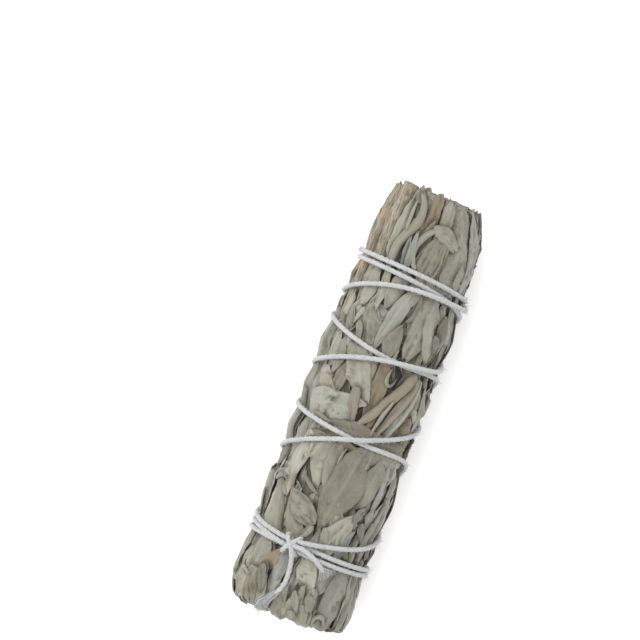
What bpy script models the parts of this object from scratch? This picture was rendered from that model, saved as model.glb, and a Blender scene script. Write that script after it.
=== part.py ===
"""A dried sage smudge stick: leafy sprigs laid together and wound with white cotton string.

Metres, +Z up. The stick lies along X on Z = 0, with its cut stems at +X and its knotted end at -X.
A place on it is given by how far it is from the cut end, by its angle round the stick from the
crown (positive towards -Y) and by its distance from the stick's axis. Sizes are in millimetres
until a point is placed.
"""

import math
import random
from typing import NamedTuple

import bmesh
import bpy
import numpy as np

MM = 0.001

LENGTH = 102.0  # from the leaf tips at the cut end to those at the knotted end
AXIS_HEIGHT = 13.6  # the bundle's axis over what the stick lies on
FREE_RADIUS = 14.05  # how far the leaves bulge between two strings
PRESS_DEPTH = 0.9  # how far a string presses them in
PRESS_REACH = 4.0  # how far from the string that dies away
LEAF_LAYER = 1.0  # depth of the layer that the outer leaves share
CORE_DEPTH = 1.7  # how deep under the surface a sprig's packed inner leaves end
BLADE_THICKNESS = 0.8
BLADE_ROOT = 1.2  # how deep a blade is sunk into the packed leaves
BLADE_WAVE = 0.14  # share of its width by which a blade's edge wanders in and out
BLADE_RUFFLE = 0.12  # how far its edge waves up and down
REST_STEP = 0.12  # the blades of the underside lie on this many heights, so that none share a face
REST_RANKS = 5
CORE_ENDS = (2.6, 98.8)  # the packed leaves stop here, and the blades reach past them
CORE_STEP = 8.0
CORE_FLOOR = 1.4  # the packed leaves' height over what the stick lies on
INNER_RADIUS = 5.7  # the outer sprigs' inner side
MIDDLE_RADIUS = 5.3  # the middle sprig
GAP = 0.3  # between pieces that touch

STRING_RADIUS = 0.75
STRING_LIFT = 0.85  # the string's centre over the leaves that it presses
STRING_SPACING = 1.85  # centre to centre where strands cross
STEPS_PER_TURN = 16
CROSSING_RISE = 0.7  # share of a crossing's height that the upper strand takes
ROUND_ANGLE = 40.0  # degrees: edges flatter than this are shaded round

LANES = (
    (-33.0, 57.0),
    (57.0, 111.0),
    (111.0, 165.0),
    (165.0, 219.0),
    (219.0, 273.0),
    (273.0, 327.0),
)  # the angles between which each outer sprig lies
LANE_SWAY = 2.5  # degrees that a lane's edge wanders
LANE_WAVE = 47.0
LANE_SOFT = 0.7  # a leaf is squeezed past this share of its lane's half width
SEED = 11

# Where the string passes on each turn, from the cut end: left edge, crown, right edge, underside.
TURNS = (
    (85.0, 83.4, 78.0, 68.0),
    (65.3, 58.3, 51.4, 46.0),
    (44.9, 39.3, 36.3, 28.0),
    (27.0, 22.2, 22.0, 17.2),
    (17.2, 18.4, 20.2, 19.4),
    (18.9, 20.2, 24.2, 32.0),
    (33.4, 38.4, 40.0, 51.0),
    (54.9, 58.2, 60.7, 75.5),
    (81.7, 84.6, 84.8, 84.1),
    (83.4, 86.3, 86.5, 85.8),
    (85.1, 85.6, 85.6, 85.6),
)
LATER_END = 1350.0  # the turns before this angle were wound last and lie over the others
START_ANGLE = -12.0
END_ANGLE = 3600.0 - 22.0
KNOT = (85.4, -16.0)  # distance from the cut end, angle
KNOT_TILT = 6.0  # degrees that each of its two loops leans
KNOT_REACH = 2.0  # half a loop's width along the stick
KNOT_HEIGHT = 1.45  # and half its height
TAILS = {
    "long": (
        (85.6, -3.9, 1.5),
        (87.4, -3.1, 1.2),
        (90.0, -2.7, 0.5),
        (93.2, -2.6, 0.45),
        (95.6, -3.2, 0.45),
        (98.0, -4.9, 0.45),
        (100.2, -6.0, 0.45),
        (101.9, -5.2, 0.5),
    ),
    "short": (
        (85.0, -3.6, 1.6),
        (84.9, -1.6, 1.9),
        (85.9, 1.0, 1.9),
        (87.6, 3.4, 0.9),
        (89.3, 5.6, 0.5),
    ),
}  # distance from the cut end, distance across from the crown, height over the string's own level

LEAF_COLOUR = (0.36, 0.355, 0.28)
STEM_COLOUR = (0.30, 0.20, 0.11)
STRING_COLOUR = (0.72, 0.73, 0.71)
DEGREE = math.pi / 180
HEXAGON = 0.92  # a six-sided cutter's mean radius is about this share of its corners'
OCTAGON = 0.97  # and an eight-sided one's
STEM_PAST = -4.0  # a stem's hole runs on to here, past the cut end
BARE_RISES = (1.1, 2.2, 3.3)  # over a bare stem the leaves are cut away up to here


class Leaf(NamedTuple):
    """One pressed leaf: its root and tip as (along, across), both seen from over its sprig."""

    root: tuple
    tip: tuple
    width: float
    lift: float
    bend: float = 0.0
    tilt: float = 0.0
    rib: float = 0.2


# The crown's leaves. Across is measured from the crown, positive to the right of the cut end.
CROWN_LEAVES = (
    Leaf((21.0, -5.6), (2.0, -6.3), 4.6, 0.75, 0.5),
    Leaf((21.5, -5.0), (0.8, -3.6), 2.4, 1.0, -1.6, 0.0, 0.5),
    Leaf((12.0, -0.6), (-0.1, -0.2), 3.9, 0.6, 0.2, 0.3),
    Leaf((12.5, 3.0), (0.8, 3.4), 3.7, 0.7, 0.0, 0.0, 0.4),
    Leaf((21.5, 3.0), (8.0, 3.4), 7.6, 1.0, 0.4, -0.2, 0.4),
    Leaf((20.5, 8.4), (0.6, 7.4), 5.8, 0.75, 0.6, 0.2),
    Leaf((30.5, -5.2), (18.0, -5.4), 3.2, 0.8, 0.0),
    Leaf((36.0, -5.9), (24.0, -4.6), 6.2, 0.5, 0.4, -0.2),
    Leaf((22.0, 1.8), (36.5, -2.4), 4.8, 0.9, 0.5, 0.3),
    Leaf((37.5, 3.2), (22.5, 4.0), 5.2, 0.6, 0.3),
    Leaf((23.5, 5.4), (36.6, 8.2), 7.8, 1.0, -0.5, 0.3, 0.4),
    Leaf((37.0, -6.0), (49.0, -0.6), 5.6, 1.0, -0.4, 0.2),
    Leaf((55.5, -1.9), (43.0, -3.4), 3.0, 0.9, 0.2, 0.0, 0.5),
    Leaf((56.0, 2.0), (38.5, 1.3), 4.0, 0.55, 0.2),
    Leaf((37.5, 9.4), (54.6, 0.6), 2.6, 1.0, 0.8, 0.0, 0.5),
    Leaf((39.0, 8.8), (55.5, 7.6), 7.4, 0.8, 0.5, 0.2, 0.3),
    Leaf((57.3, -6.8), (57.0, 9.6), 4.6, 0.95, 0.3),
    Leaf((57.5, -4.4), (70.5, -4.9), 4.6, 0.75, 0.3, 0.2),
    Leaf((57.0, -1.8), (73.0, -1.0), 4.8, 0.65, -0.3, 0.2),
    Leaf((58.5, 2.6), (79.6, 0.9), 9.4, 0.95, -0.4, 0.2, 0.4),
    Leaf((74.0, 8.6), (59.0, 7.8), 5.4, 0.9, 0.3, -0.2),
    Leaf((79.4, -1.6), (71.6, -7.6), 5.4, 0.85, 0.5),
    Leaf((83.6, -1.4), (75.2, -7.0), 5.2, 0.6, 0.4),
    Leaf((71.5, 3.4), (84.0, 3.8), 6.4, 0.8, 0.5, 0.2),
    Leaf((86.0, 7.6), (76.0, 7.0), 4.6, 0.6),
    Leaf((84.5, -6.4), (99.2, -5.6), 4.4, 0.7),
    Leaf((84.0, 0.4), (96.0, 0.6), 6.2, 0.85, 0.2, 0.2),
    Leaf((84.5, 8.4), (101.0, 8.2), 7.4, 0.9, 0.4, 0.2, 0.4),
    Leaf((91.0, -2.0), (101.8, -1.6), 4.4, 0.95, 0.3, 0.0, 0.5),
    Leaf((90.0, 3.4), (102.0, 2.6), 4.6, 1.0, -0.3, 0.0, 0.5),
)


SIDE_LEAVES = 8  # on each outer sprig but the crown's
SIDE_WIDTH = (6.0, 8.6)
SIDE_LENGTH = (16.0, 23.0)
RESTING_LANE = 3
RESTING_LEAF = Leaf((52.0, 0.0), (67.0, 0.4), 9.0, 1.3)

END_DEPTHS = (1.4, 4.0)  # of the blades that show at the stick's two ends, under the surface
END_REACH = 7.5  # how far those blades run into the stick
END_WIDTH = 5.0


class Stem(NamedTuple):
    """One woody stem: its radius and its places as (along, angle, distance from the axis)."""

    radius: float
    route: tuple
    bare: int = 0  # how many of its places, from the cut end, have no leaf over them


STEMS = (
    Stem(
        1.6,
        (
            (-0.4, -46, 9.9),
            (7, -46, 11.0),
            (16, -48, 11.0),
            (26, -52, 10.4),
            (58, -58, 9.2),
        ),
        3,
    ),
    Stem(1.3, ((0.6, -66, 10.0), (9, -66, 11.2), (19, -68, 11.3), (31, -72, 11.3), (52, -79, 9.0)), 4),
    Stem(1.4, ((0.2, 14, 8.4), (30, 12, 8.8), (88, 10, 9.0))),
    Stem(1.3, ((0.9, 84, 8.8), (40, 85, 9.0), (86, 82, 9.0))),
    Stem(1.6, ((0.0, 138, 8.8), (40, 137, 9.0), (90, 139, 9.0))),
    Stem(1.2, ((0.7, 192, 8.6), (40, 190, 8.8), (84, 191, 8.8))),
    Stem(1.4, ((-0.2, 246, 8.8), (40, 247, 9.0), (88, 245, 9.0))),
    Stem(1.8, ((0.3, 0, 0.6), (45, 90, 0.5), (92, 180, 0.6))),
)


def free_radius(along):
    """The bundle's radius between strings: it narrows to the cut end and rounds off at the other."""
    waist = 0.9 * np.exp(-along / 18.0) + 1.6 * np.exp(-np.maximum(along, 0.0) / 3.0)
    rounding = 1.6 * np.exp(-(LENGTH - np.minimum(along, LENGTH)) / 2.0)
    return FREE_RADIUS + 0.002 * along - waist - rounding


def turn_readings():
    """The string's readings as one run of angles and distances from the cut end."""
    angles = [360.0 * k + 90.0 * (q - 1) for k in range(len(TURNS)) for q in range(4)]
    return np.array(angles), np.array([reading for turn in TURNS for reading in turn])


def smooth_reading(angle):
    """The string's distance from the cut end at an angle, on a smooth curve through the readings."""
    angles, readings = turn_readings()
    slopes = np.gradient(readings)
    place = (np.asarray(angle, float) - angles[0]) / 90.0
    low = np.clip(np.floor(place).astype(int), 0, len(angles) - 2)
    t = place - low
    rise = readings[low + 1] - readings[low]
    bend_in = slopes[low] - rise
    bend_out = slopes[low + 1] - rise
    return readings[low] + t * rise + t * (1 - t) * ((1 - t) * bend_in - t * bend_out)


def string_distance(along, angle):
    """How far a place is from the nearest string, along the stick."""
    round_once = np.mod(np.asarray(angle, float) + 90.0, 360.0) - 90.0
    nearest = np.full(np.broadcast(along, round_once).shape, LENGTH)
    for turn in range(len(TURNS)):
        at = round_once + 360.0 * turn
        wound = (at >= START_ANGLE) & (at <= END_ANGLE)
        gap = np.abs(along - smooth_reading(np.clip(at, START_ANGLE, END_ANGLE)))
        nearest = np.where(wound, np.minimum(nearest, gap), nearest)
    return nearest


def bundle_radius(along, angle):
    """The bundle's outer radius, drawn in under the strings."""
    pressed = PRESS_DEPTH * np.exp(-((string_distance(along, angle) / PRESS_REACH) ** 2))
    return free_radius(along) - pressed


def floor_radius(angle, height):
    """The radius at which a place on the underside is that far over the surface below."""
    down = -np.cos(np.asarray(angle, float) * DEGREE)
    return np.where(down > 0.2, (AXIS_HEIGHT - height) / np.maximum(down, 0.2), 1e3)


def placed(along, angle, radius):
    """Points in metres, one row each."""
    turn = np.asarray(angle, float) * DEGREE
    x = LENGTH / 2 - along + 0.0 * turn
    y = -radius * np.sin(turn)
    z = AXIS_HEIGHT + radius * np.cos(turn)
    return np.stack([x, y, z], axis=-1) * MM


def angle_of(across):
    """The angle of a place seen this far across from the crown, from straight above."""
    return math.asin(max(-1.0, min(1.0, across / FREE_RADIUS))) / DEGREE


def lane_edges(lane, along):
    """The two angles of a sprig's lane at a distance along the stick."""
    low, high = LANES[lane]
    after = (lane + 1) % len(LANES)
    phase = 2 * math.pi * np.asarray(along, float) / LANE_WAVE
    return (
        low + LANE_SWAY * np.sin(phase + 2.1 * lane),
        high + LANE_SWAY * np.sin(phase + 2.1 * after),
    )


def kept_in_lane(lane, along, angle, radius):
    """An angle squeezed so that it stays clear of the sprigs on both sides."""
    low, high = lane_edges(lane, along)
    half = (high - low) / 2
    share = (angle - (high + low) / 2) / half
    limit = 1 - GAP * 0.55 / (radius * half * DEGREE)
    room = limit - LANE_SOFT
    past = np.maximum(np.abs(share) - LANE_SOFT, 0.0)
    soft = np.minimum(np.abs(share), LANE_SOFT) + room * np.tanh(past / room)
    return (high + low) / 2 + half * np.sign(share) * soft


def drawn_in(lane, along, angle, radius):
    """An angle turned no further than a lane's edges at a depth, where the lane is narrower."""
    low, high = lane_edges(lane, along)
    margin = GAP * 0.5 / radius / DEGREE
    return np.clip(angle, low + margin, high - margin)


def new_object(name, mesh, collection):
    """A new object in a collection."""
    made = bpy.data.objects.new(name, mesh)
    collection.objects.link(made)
    return made


def shell_between(name, top, bottom, collection):
    """A closed solid between two grids of points, both split into triangles the same way."""
    rows, columns = top.shape[:2]
    builder = bmesh.new()
    layers = [
        [[builder.verts.new(layer[i, j]) for j in range(columns)] for i in range(rows)]
        for layer in (top, bottom)
    ]
    for layer, turned in zip(layers, (False, True)):
        for i in range(rows - 1):
            for j in range(columns - 1):
                a, b = layer[i][j], layer[i][j + 1]
                c, d = layer[i + 1][j + 1], layer[i + 1][j]
                for corners in ((a, b, c), (a, c, d)):
                    builder.faces.new(corners[::-1] if turned else corners)
    rim = [(i, 0) for i in range(rows - 1)] + [(rows - 1, j) for j in range(columns - 1)]
    rim += [(i, columns - 1) for i in range(rows - 1, 0, -1)] + [(0, j) for j in range(columns - 1, 0, -1)]
    for (i, j), (k, l) in zip(rim, rim[1:] + rim[:1]):
        upper, lower = layers
        builder.faces.new((upper[i][j], upper[k][l], lower[k][l]))
        builder.faces.new((upper[i][j], lower[k][l], lower[i][j]))
    bmesh.ops.recalc_face_normals(builder, faces=builder.faces)
    mesh = bpy.data.meshes.new(name)
    builder.to_mesh(mesh)
    builder.free()
    return new_object(name, mesh, collection)


def blade(leaf, lane, centre_angle, rank, collection, stations=6, depth=0.0):
    """One leaf pressed on its sprig, with waved edges and a raised midrib, its root sunk in."""
    t = np.linspace(0.0, 1.0, stations)[:, None]
    side = np.array([-1.0, 0.0, 1.0])[None, :]
    start = np.array([leaf.root[0], FREE_RADIUS * angle_of(leaf.root[1]) * DEGREE])
    end = np.array([leaf.tip[0], FREE_RADIUS * angle_of(leaf.tip[1]) * DEGREE])
    run = end - start
    across = np.array([-run[1], run[0]]) / np.hypot(*run)
    outline = np.sin(math.pi * (0.15 + 0.83 * t)) ** 0.8
    outline = outline * (1 + BLADE_WAVE * np.sin(9.0 * t + 2.0 * side + 1.3 * rank))
    offset = side * outline * leaf.width / 2 + leaf.bend * np.sin(math.pi * t)
    along = start[0] + run[0] * t + across[0] * offset
    arc = start[1] + run[1] * t + across[1] * offset
    raised = leaf.lift + leaf.rib * (1 - np.abs(side)) + leaf.tilt * side
    raised = raised + BLADE_RUFFLE * np.sin(7.0 * t + 2.4 * side + rank) * np.abs(side)
    angle = kept_in_lane(lane, along, centre_angle + arc / FREE_RADIUS / DEGREE, FREE_RADIUS - depth)
    skin = bundle_radius(along, angle) - depth
    top = np.minimum(skin - LEAF_LAYER + raised, floor_radius(angle, REST_STEP * (rank % REST_RANKS)))
    inside = (along > CORE_ENDS[0] + 0.4) & (along < CORE_ENDS[1] - 0.4)
    sunk = np.minimum(skin - CORE_DEPTH - BLADE_ROOT, top - BLADE_THICKNESS)
    bottom = np.where(inside, sunk, top - BLADE_THICKNESS)
    root_angle = drawn_in(lane, along, angle, bottom)
    return shell_between("leaf", placed(along, angle, top), placed(along, root_angle, bottom), collection)


def sprig_core(name, lane, collection):
    """The packed inner leaves of an outer sprig: a wedge lofted along its lane."""
    along = np.arange(CORE_ENDS[0], CORE_ENDS[1] - CORE_STEP / 2, CORE_STEP)
    along = np.append(along, CORE_ENDS[1])[:, None]
    low, high = lane_edges(lane, along)
    share = np.linspace(-1.0, 1.0, 5 if lane == 0 else 4)[None, :]
    wide = (high + low) / 2 + share * (high - low) / 2
    outer = np.minimum(bundle_radius(along, wide) - CORE_DEPTH, floor_radius(wide, CORE_FLOOR))
    inner = np.full_like(outer, INNER_RADIUS)
    kept = [
        (high + low) / 2 + share * ((high - low) / 2 - GAP * 0.55 / radius / DEGREE)
        for radius in (outer, inner)
    ]
    return shell_between(name, placed(along, kept[0], outer), placed(along, kept[1], inner), collection)


def remove_object(made):
    """Removes an object and its mesh."""
    mesh = made.data
    bpy.data.objects.remove(made)
    bpy.data.meshes.remove(mesh)


def applied(made):
    """The object with its modifiers applied to its mesh."""
    depsgraph = bpy.context.evaluated_depsgraph_get()
    mesh = bpy.data.meshes.new_from_object(made.evaluated_get(depsgraph))
    old = made.data
    made.modifiers.clear()
    made.data = mesh
    mesh.name = made.name
    bpy.data.meshes.remove(old)
    return made


def join_all(made, pieces):
    """One Boolean union with everything in a collection, which is then removed."""
    union = made.modifiers.new("leaves joined", "BOOLEAN")
    union.operation = "UNION"
    union.solver = "EXACT"
    union.operand_type = "COLLECTION"
    union.collection = pieces
    applied(made)
    for piece in list(pieces.objects):
        remove_object(piece)
    bpy.data.collections.remove(pieces)
    return made


def cut_by_all(made, cutters):
    """The object with all a collection's cutters taken out. MANIFOLD keeps the sprigs closed here."""
    cut = made.modifiers.new("cut clear", "BOOLEAN")
    cut.operation = "DIFFERENCE"
    cut.solver = "MANIFOLD"
    cut.operand_type = "COLLECTION"
    cut.collection = cutters
    return applied(made)


def largest_body(made):
    """The object without loose scraps and without the sealed hollows that joining left."""
    builder = bmesh.new()
    builder.from_mesh(made.data)
    bmesh.ops.remove_doubles(builder, verts=builder.verts, dist=2e-6)
    unseen = set(builder.verts)
    bodies = []
    while unseen:
        reached = [unseen.pop()]
        body = []
        while reached:
            vertex = reached.pop()
            body.append(vertex)
            for edge in vertex.link_edges:
                other = edge.other_vert(vertex)
                if other in unseen:
                    unseen.remove(other)
                    reached.append(other)
        bodies.append(body)
    bodies.sort(key=len)
    for body in bodies[:-1]:
        bmesh.ops.delete(builder, geom=body, context="VERTS")
    bmesh.ops.triangulate(builder, faces=builder.faces)
    builder.to_mesh(made.data)
    builder.free()
    return made


def tube(name, points, radius, collection, resolution=2, cyclic=False):
    """A round rod along a list of points, made a closed mesh."""
    curve = bpy.data.curves.new(name, "CURVE")
    curve.dimensions = "3D"
    curve.bevel_depth = radius * MM
    curve.bevel_resolution = resolution
    curve.use_fill_caps = not cyclic
    line = curve.splines.new("POLY")
    line.points.add(len(points) - 1)
    line.use_cyclic_u = cyclic
    for point, place in zip(line.points, points):
        point.co = (*place, 1.0)
    rod = new_object(name, curve, collection)
    depsgraph = bpy.context.evaluated_depsgraph_get()
    mesh = bpy.data.meshes.new_from_object(rod.evaluated_get(depsgraph))
    bpy.data.objects.remove(rod)
    bpy.data.curves.remove(curve)
    builder = bmesh.new()
    builder.from_mesh(mesh)
    bmesh.ops.remove_doubles(builder, verts=builder.verts, dist=1e-6)
    bmesh.ops.recalc_face_normals(builder, faces=builder.faces)
    builder.to_mesh(mesh)
    builder.free()
    return new_object(name, mesh, collection)


def winding_points():
    """The string's centre line: where strands cross, one rises and the other is pressed in."""
    angle = np.arange(START_ANGLE, END_ANGLE, 360.0 / STEPS_PER_TURN)
    angle = np.append(angle, END_ANGLE)
    along = smooth_reading(angle)
    resting = bundle_radius(along, angle) + STRING_LIFT
    later = angle < LATER_END
    apart = np.zeros_like(angle)
    for shift in range(-len(TURNS), len(TURNS) + 1):
        other = angle + 360.0 * shift
        wound = (other >= START_ANGLE) & (other <= END_ANGLE) & (shift != 0)
        crossing = wound & (later != (other < LATER_END))
        gap = np.abs(along - smooth_reading(np.clip(other, START_ANGLE, END_ANGLE)))
        needed = np.sqrt(np.maximum(STRING_SPACING**2 - gap**2, 0.0))
        apart = np.maximum(apart, np.where(crossing, needed, 0.0))
    over = np.minimum(resting + CROSSING_RISE * apart, floor_radius(angle, STRING_RADIUS))
    return placed(along, angle, np.where(later, over, over - apart))


def tail_points(readings):
    """A free end of the string, lying over the leaves."""
    along = np.array([reading[0] for reading in readings])
    angle = np.array([angle_of(reading[1]) for reading in readings])
    height = np.array([reading[2] for reading in readings])
    return placed(along, angle, free_radius(along) - PRESS_DEPTH + STRING_LIFT + height)


def knot_points(tilt):
    """A small loop of the knot round the strands that it binds."""
    turn = np.linspace(0.0, 2 * math.pi, 8, endpoint=False)
    along = KNOT[0] + KNOT_REACH * np.cos(turn)
    angle = KNOT[1] + tilt * np.cos(turn)
    radius = free_radius(along) + KNOT_HEIGHT * np.sin(turn) + GAP
    return placed(along, angle, radius)


def string_rods(radius, resolution, collection, winding):
    """The winding's stretches with the knot's loops and the tails, as separate rods."""
    rods = [tube("winding", stretch, radius, collection, resolution) for stretch in winding]
    for readings in TAILS.values():
        rods.append(tube("tail", tail_points(readings), radius, collection, resolution))
    for tilt in (KNOT_TILT, -KNOT_TILT):
        rods.append(tube("loop", knot_points(tilt), radius, collection, resolution, cyclic=True))
    return rods


def half_turns(points):
    """The winding in lapped half turns, so that a fat cutter along one never meets itself."""
    step = STEPS_PER_TURN // 2
    return [points[max(first - 1, 0) : first + step + 2] for first in range(0, len(points) - 2, step)]


def side_leaves(lane, draw):
    """The leaves of a side sprig, in two staggered rows, by a seeded rule."""
    low, high = LANES[lane]
    middle = (low + high) / 2
    reach = FREE_RADIUS * (high - low) / 2 * DEGREE
    for rank in range(SIDE_LEAVES):
        width = draw.uniform(*SIDE_WIDTH)
        length = draw.uniform(*SIDE_LENGTH)
        root = 4.0 + (LENGTH - 12.0) * rank / (SIDE_LEAVES - 1)
        tip = root - length if root > length else root + length
        row = reach * 0.36 * (-1) ** rank
        leaf = Leaf(
            (min(root, LENGTH - 3.0), row + draw.uniform(-0.6, 0.6)),
            (max(tip, 0.2), row * draw.uniform(0.5, 1.3)),
            width,
            draw.uniform(0.2, 1.15),
            draw.uniform(-0.8, 0.8),
            draw.uniform(-0.3, 0.3),
            draw.uniform(0.1, 0.4),
        )
        yield rank, leaf, middle


def end_blades(lane, middle, draw, collection):
    """Short deep blades that stand out of both ends, where the bundle shows its layers."""
    for end in (0.0, LENGTH):
        sign = 1 if end == 0.0 else -1
        for depth in END_DEPTHS:
            tip = end + sign * draw.uniform(0.0, 1.2)
            row = draw.uniform(-0.3, 0.3) * END_WIDTH
            width = draw.uniform(0.9, 1.3) * END_WIDTH
            leaf = Leaf((end + sign * END_REACH, row), (tip, row * 0.7), width, 1.0)
            blade(leaf, lane, middle, REST_RANKS - 1, collection, stations=3, depth=depth)


def build_sprig(lane, draw, stick, string_cutters, stem_cutters):
    """One outer sprig: its packed core, its pressed leaves and the blades at its ends, as one body."""
    name = f"sage_sprig_{lane + 1}"
    made = sprig_core(name, lane, stick)
    leaves = new_collection("leaves")
    low, high = LANES[lane]
    if lane == 0:
        for rank, leaf in enumerate(CROWN_LEAVES):
            blade(leaf, lane, 0.0, rank, leaves, stations=5)
    else:
        for rank, leaf, middle in side_leaves(lane, draw):
            blade(leaf, lane, middle, rank % (REST_RANKS - 1) + 1, leaves, stations=4)
    if lane == RESTING_LANE:
        blade(RESTING_LEAF, lane, 180.0, 0, leaves)
    end_blades(lane, (low + high) / 2, draw, leaves)
    join_all(made, leaves)
    largest_body(made)
    cut_by_all(made, string_cutters)
    cut_by_all(made, stem_cutters)
    return largest_body(made)


def build_middle_sprig(draw, stick, stem_cutters):
    """The sprig in the middle of the bundle, seen only at the two ends."""
    along = np.linspace(CORE_ENDS[0], CORE_ENDS[1], 4)
    turn = np.linspace(0.0, 2 * math.pi, 12, endpoint=False)
    builder = bmesh.new()
    rings = [
        [
            builder.verts.new(placed(s, a / DEGREE, MIDDLE_RADIUS * (0.9 + 0.1 * math.sin(3 * a + s))))
            for a in turn
        ]
        for s in along
    ]
    for ring, other in zip(rings, rings[1:]):
        for k in range(len(ring)):
            after = (k + 1) % len(ring)
            builder.faces.new((ring[k], ring[after], other[after], other[k]))
    builder.faces.new(rings[0][::-1])
    builder.faces.new(rings[-1])
    bmesh.ops.recalc_face_normals(builder, faces=builder.faces)
    mesh = bpy.data.meshes.new("sage_sprig_7")
    builder.to_mesh(mesh)
    builder.free()
    made = new_object("sage_sprig_7", mesh, stick)
    cut_by_all(made, stem_cutters)
    return largest_body(made)


def new_collection(name):
    """A new collection in the scene."""
    made = bpy.data.collections.new(name)
    bpy.context.scene.collection.children.link(made)
    return made


def clear_scene():
    """Removes what a new file starts with."""
    for old in list(bpy.data.objects):
        bpy.data.objects.remove(old)


def dress(made, colour, roughness):
    """Gives a piece a plain material of its own and shades it round."""
    material = bpy.data.materials.new(made.name)
    material.use_nodes = True
    shader = material.node_tree.nodes["Principled BSDF"]
    shader.inputs["Base Color"].default_value = (*colour, 1.0)
    shader.inputs["Roughness"].default_value = roughness
    shader.inputs["Metallic"].default_value = 0.0
    made.data.materials.clear()
    made.data.materials.append(material)
    made.data.shade_smooth()
    made.data.set_sharp_from_angle(angle=ROUND_ANGLE * DEGREE)


def main():
    """Builds the string and the stems, then the sprigs, each cut clear of both."""
    clear_scene()
    stick = new_collection("sage_smudge_stick")
    string_cutters = new_collection("string cutters")
    stem_cutters = new_collection("stem cutters")
    draw = random.Random(SEED)

    points = winding_points()
    rods = new_collection("string rods")
    string, *_ = string_rods(STRING_RADIUS, 2, rods, [points])
    rods.objects.unlink(string)
    stick.objects.link(string)
    string.name = "cotton_string"
    largest_body(join_all(string, rods))
    dress(string, STRING_COLOUR, 0.9)
    string_rods((STRING_RADIUS + GAP) / HEXAGON, 1, string_cutters, half_turns(points))

    for number, stem in enumerate(STEMS, 1):
        line = [placed(*place) for place in stem.route]
        dress(tube(f"woody_stem_{number}", line, stem.radius, stick), STEM_COLOUR, 0.85)
        first, last = stem.route[0], stem.route[-1]
        hole = [placed(STEM_PAST, *first[1:]), *line[1:-1], placed(last[0] + GAP, *last[1:])]
        tube("stem cutter", hole, (stem.radius + GAP) / OCTAGON, stem_cutters)
        for rise in BARE_RISES if stem.bare else ():
            over = [(STEM_PAST, *first[1:]), *stem.route[1 : stem.bare]]
            above = [placed(along, angle, distance + rise) for along, angle, distance in over]
            tube("bare cutter", above, (stem.radius + GAP) / OCTAGON, stem_cutters)

    for lane in range(len(LANES)):
        dress(build_sprig(lane, draw, stick, string_cutters, stem_cutters), LEAF_COLOUR, 0.9)
    dress(build_middle_sprig(draw, stick, stem_cutters), LEAF_COLOUR, 0.9)

    for cutter in (*string_cutters.objects, *stem_cutters.objects):
        cutter.hide_render = True
        cutter.display_type = "WIRE"


main()
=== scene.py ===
"""Dresses the sage smudge stick: pressed velvety leaves, woody stems and plied cotton string.

Sizes are in millimetres until a point is placed, and a place on the stick is given as in the
solids: how far it is from the cut end, the way round from the crown (positive towards -Y) and the
distance from the stick's axis. The way round is an arc on the bundle's free radius.
"""

import logging
import math
from collections.abc import Iterator, Sequence
from dataclasses import dataclass, field
from enum import Enum

import bmesh
import bpy
import numpy as np
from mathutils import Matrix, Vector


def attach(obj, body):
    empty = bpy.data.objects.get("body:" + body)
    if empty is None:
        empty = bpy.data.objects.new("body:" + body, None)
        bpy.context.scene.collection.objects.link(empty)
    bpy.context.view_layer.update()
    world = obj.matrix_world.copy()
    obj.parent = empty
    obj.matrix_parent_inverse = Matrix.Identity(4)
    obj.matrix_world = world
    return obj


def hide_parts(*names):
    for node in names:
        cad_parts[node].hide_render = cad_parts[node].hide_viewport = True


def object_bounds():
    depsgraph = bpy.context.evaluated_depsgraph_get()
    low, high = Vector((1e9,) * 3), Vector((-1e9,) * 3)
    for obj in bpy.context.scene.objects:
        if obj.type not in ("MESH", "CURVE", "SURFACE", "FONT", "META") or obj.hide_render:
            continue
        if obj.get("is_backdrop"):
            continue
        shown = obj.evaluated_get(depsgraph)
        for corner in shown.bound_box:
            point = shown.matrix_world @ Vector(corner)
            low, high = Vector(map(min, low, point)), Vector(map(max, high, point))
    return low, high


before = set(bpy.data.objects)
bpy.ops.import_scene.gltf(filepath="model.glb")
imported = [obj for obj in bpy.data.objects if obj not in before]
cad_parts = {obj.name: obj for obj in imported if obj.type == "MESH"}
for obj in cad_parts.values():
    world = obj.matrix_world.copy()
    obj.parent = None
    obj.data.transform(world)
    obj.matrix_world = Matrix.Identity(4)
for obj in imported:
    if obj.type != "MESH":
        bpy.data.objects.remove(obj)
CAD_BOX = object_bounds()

MM = 0.001
TINT = "leaf_tint"  # on a leaf: its tone, its warmth, how near its edge a place is, and how free it is of painted shade in hollows
log = logging.getLogger("sage_stick")


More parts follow.
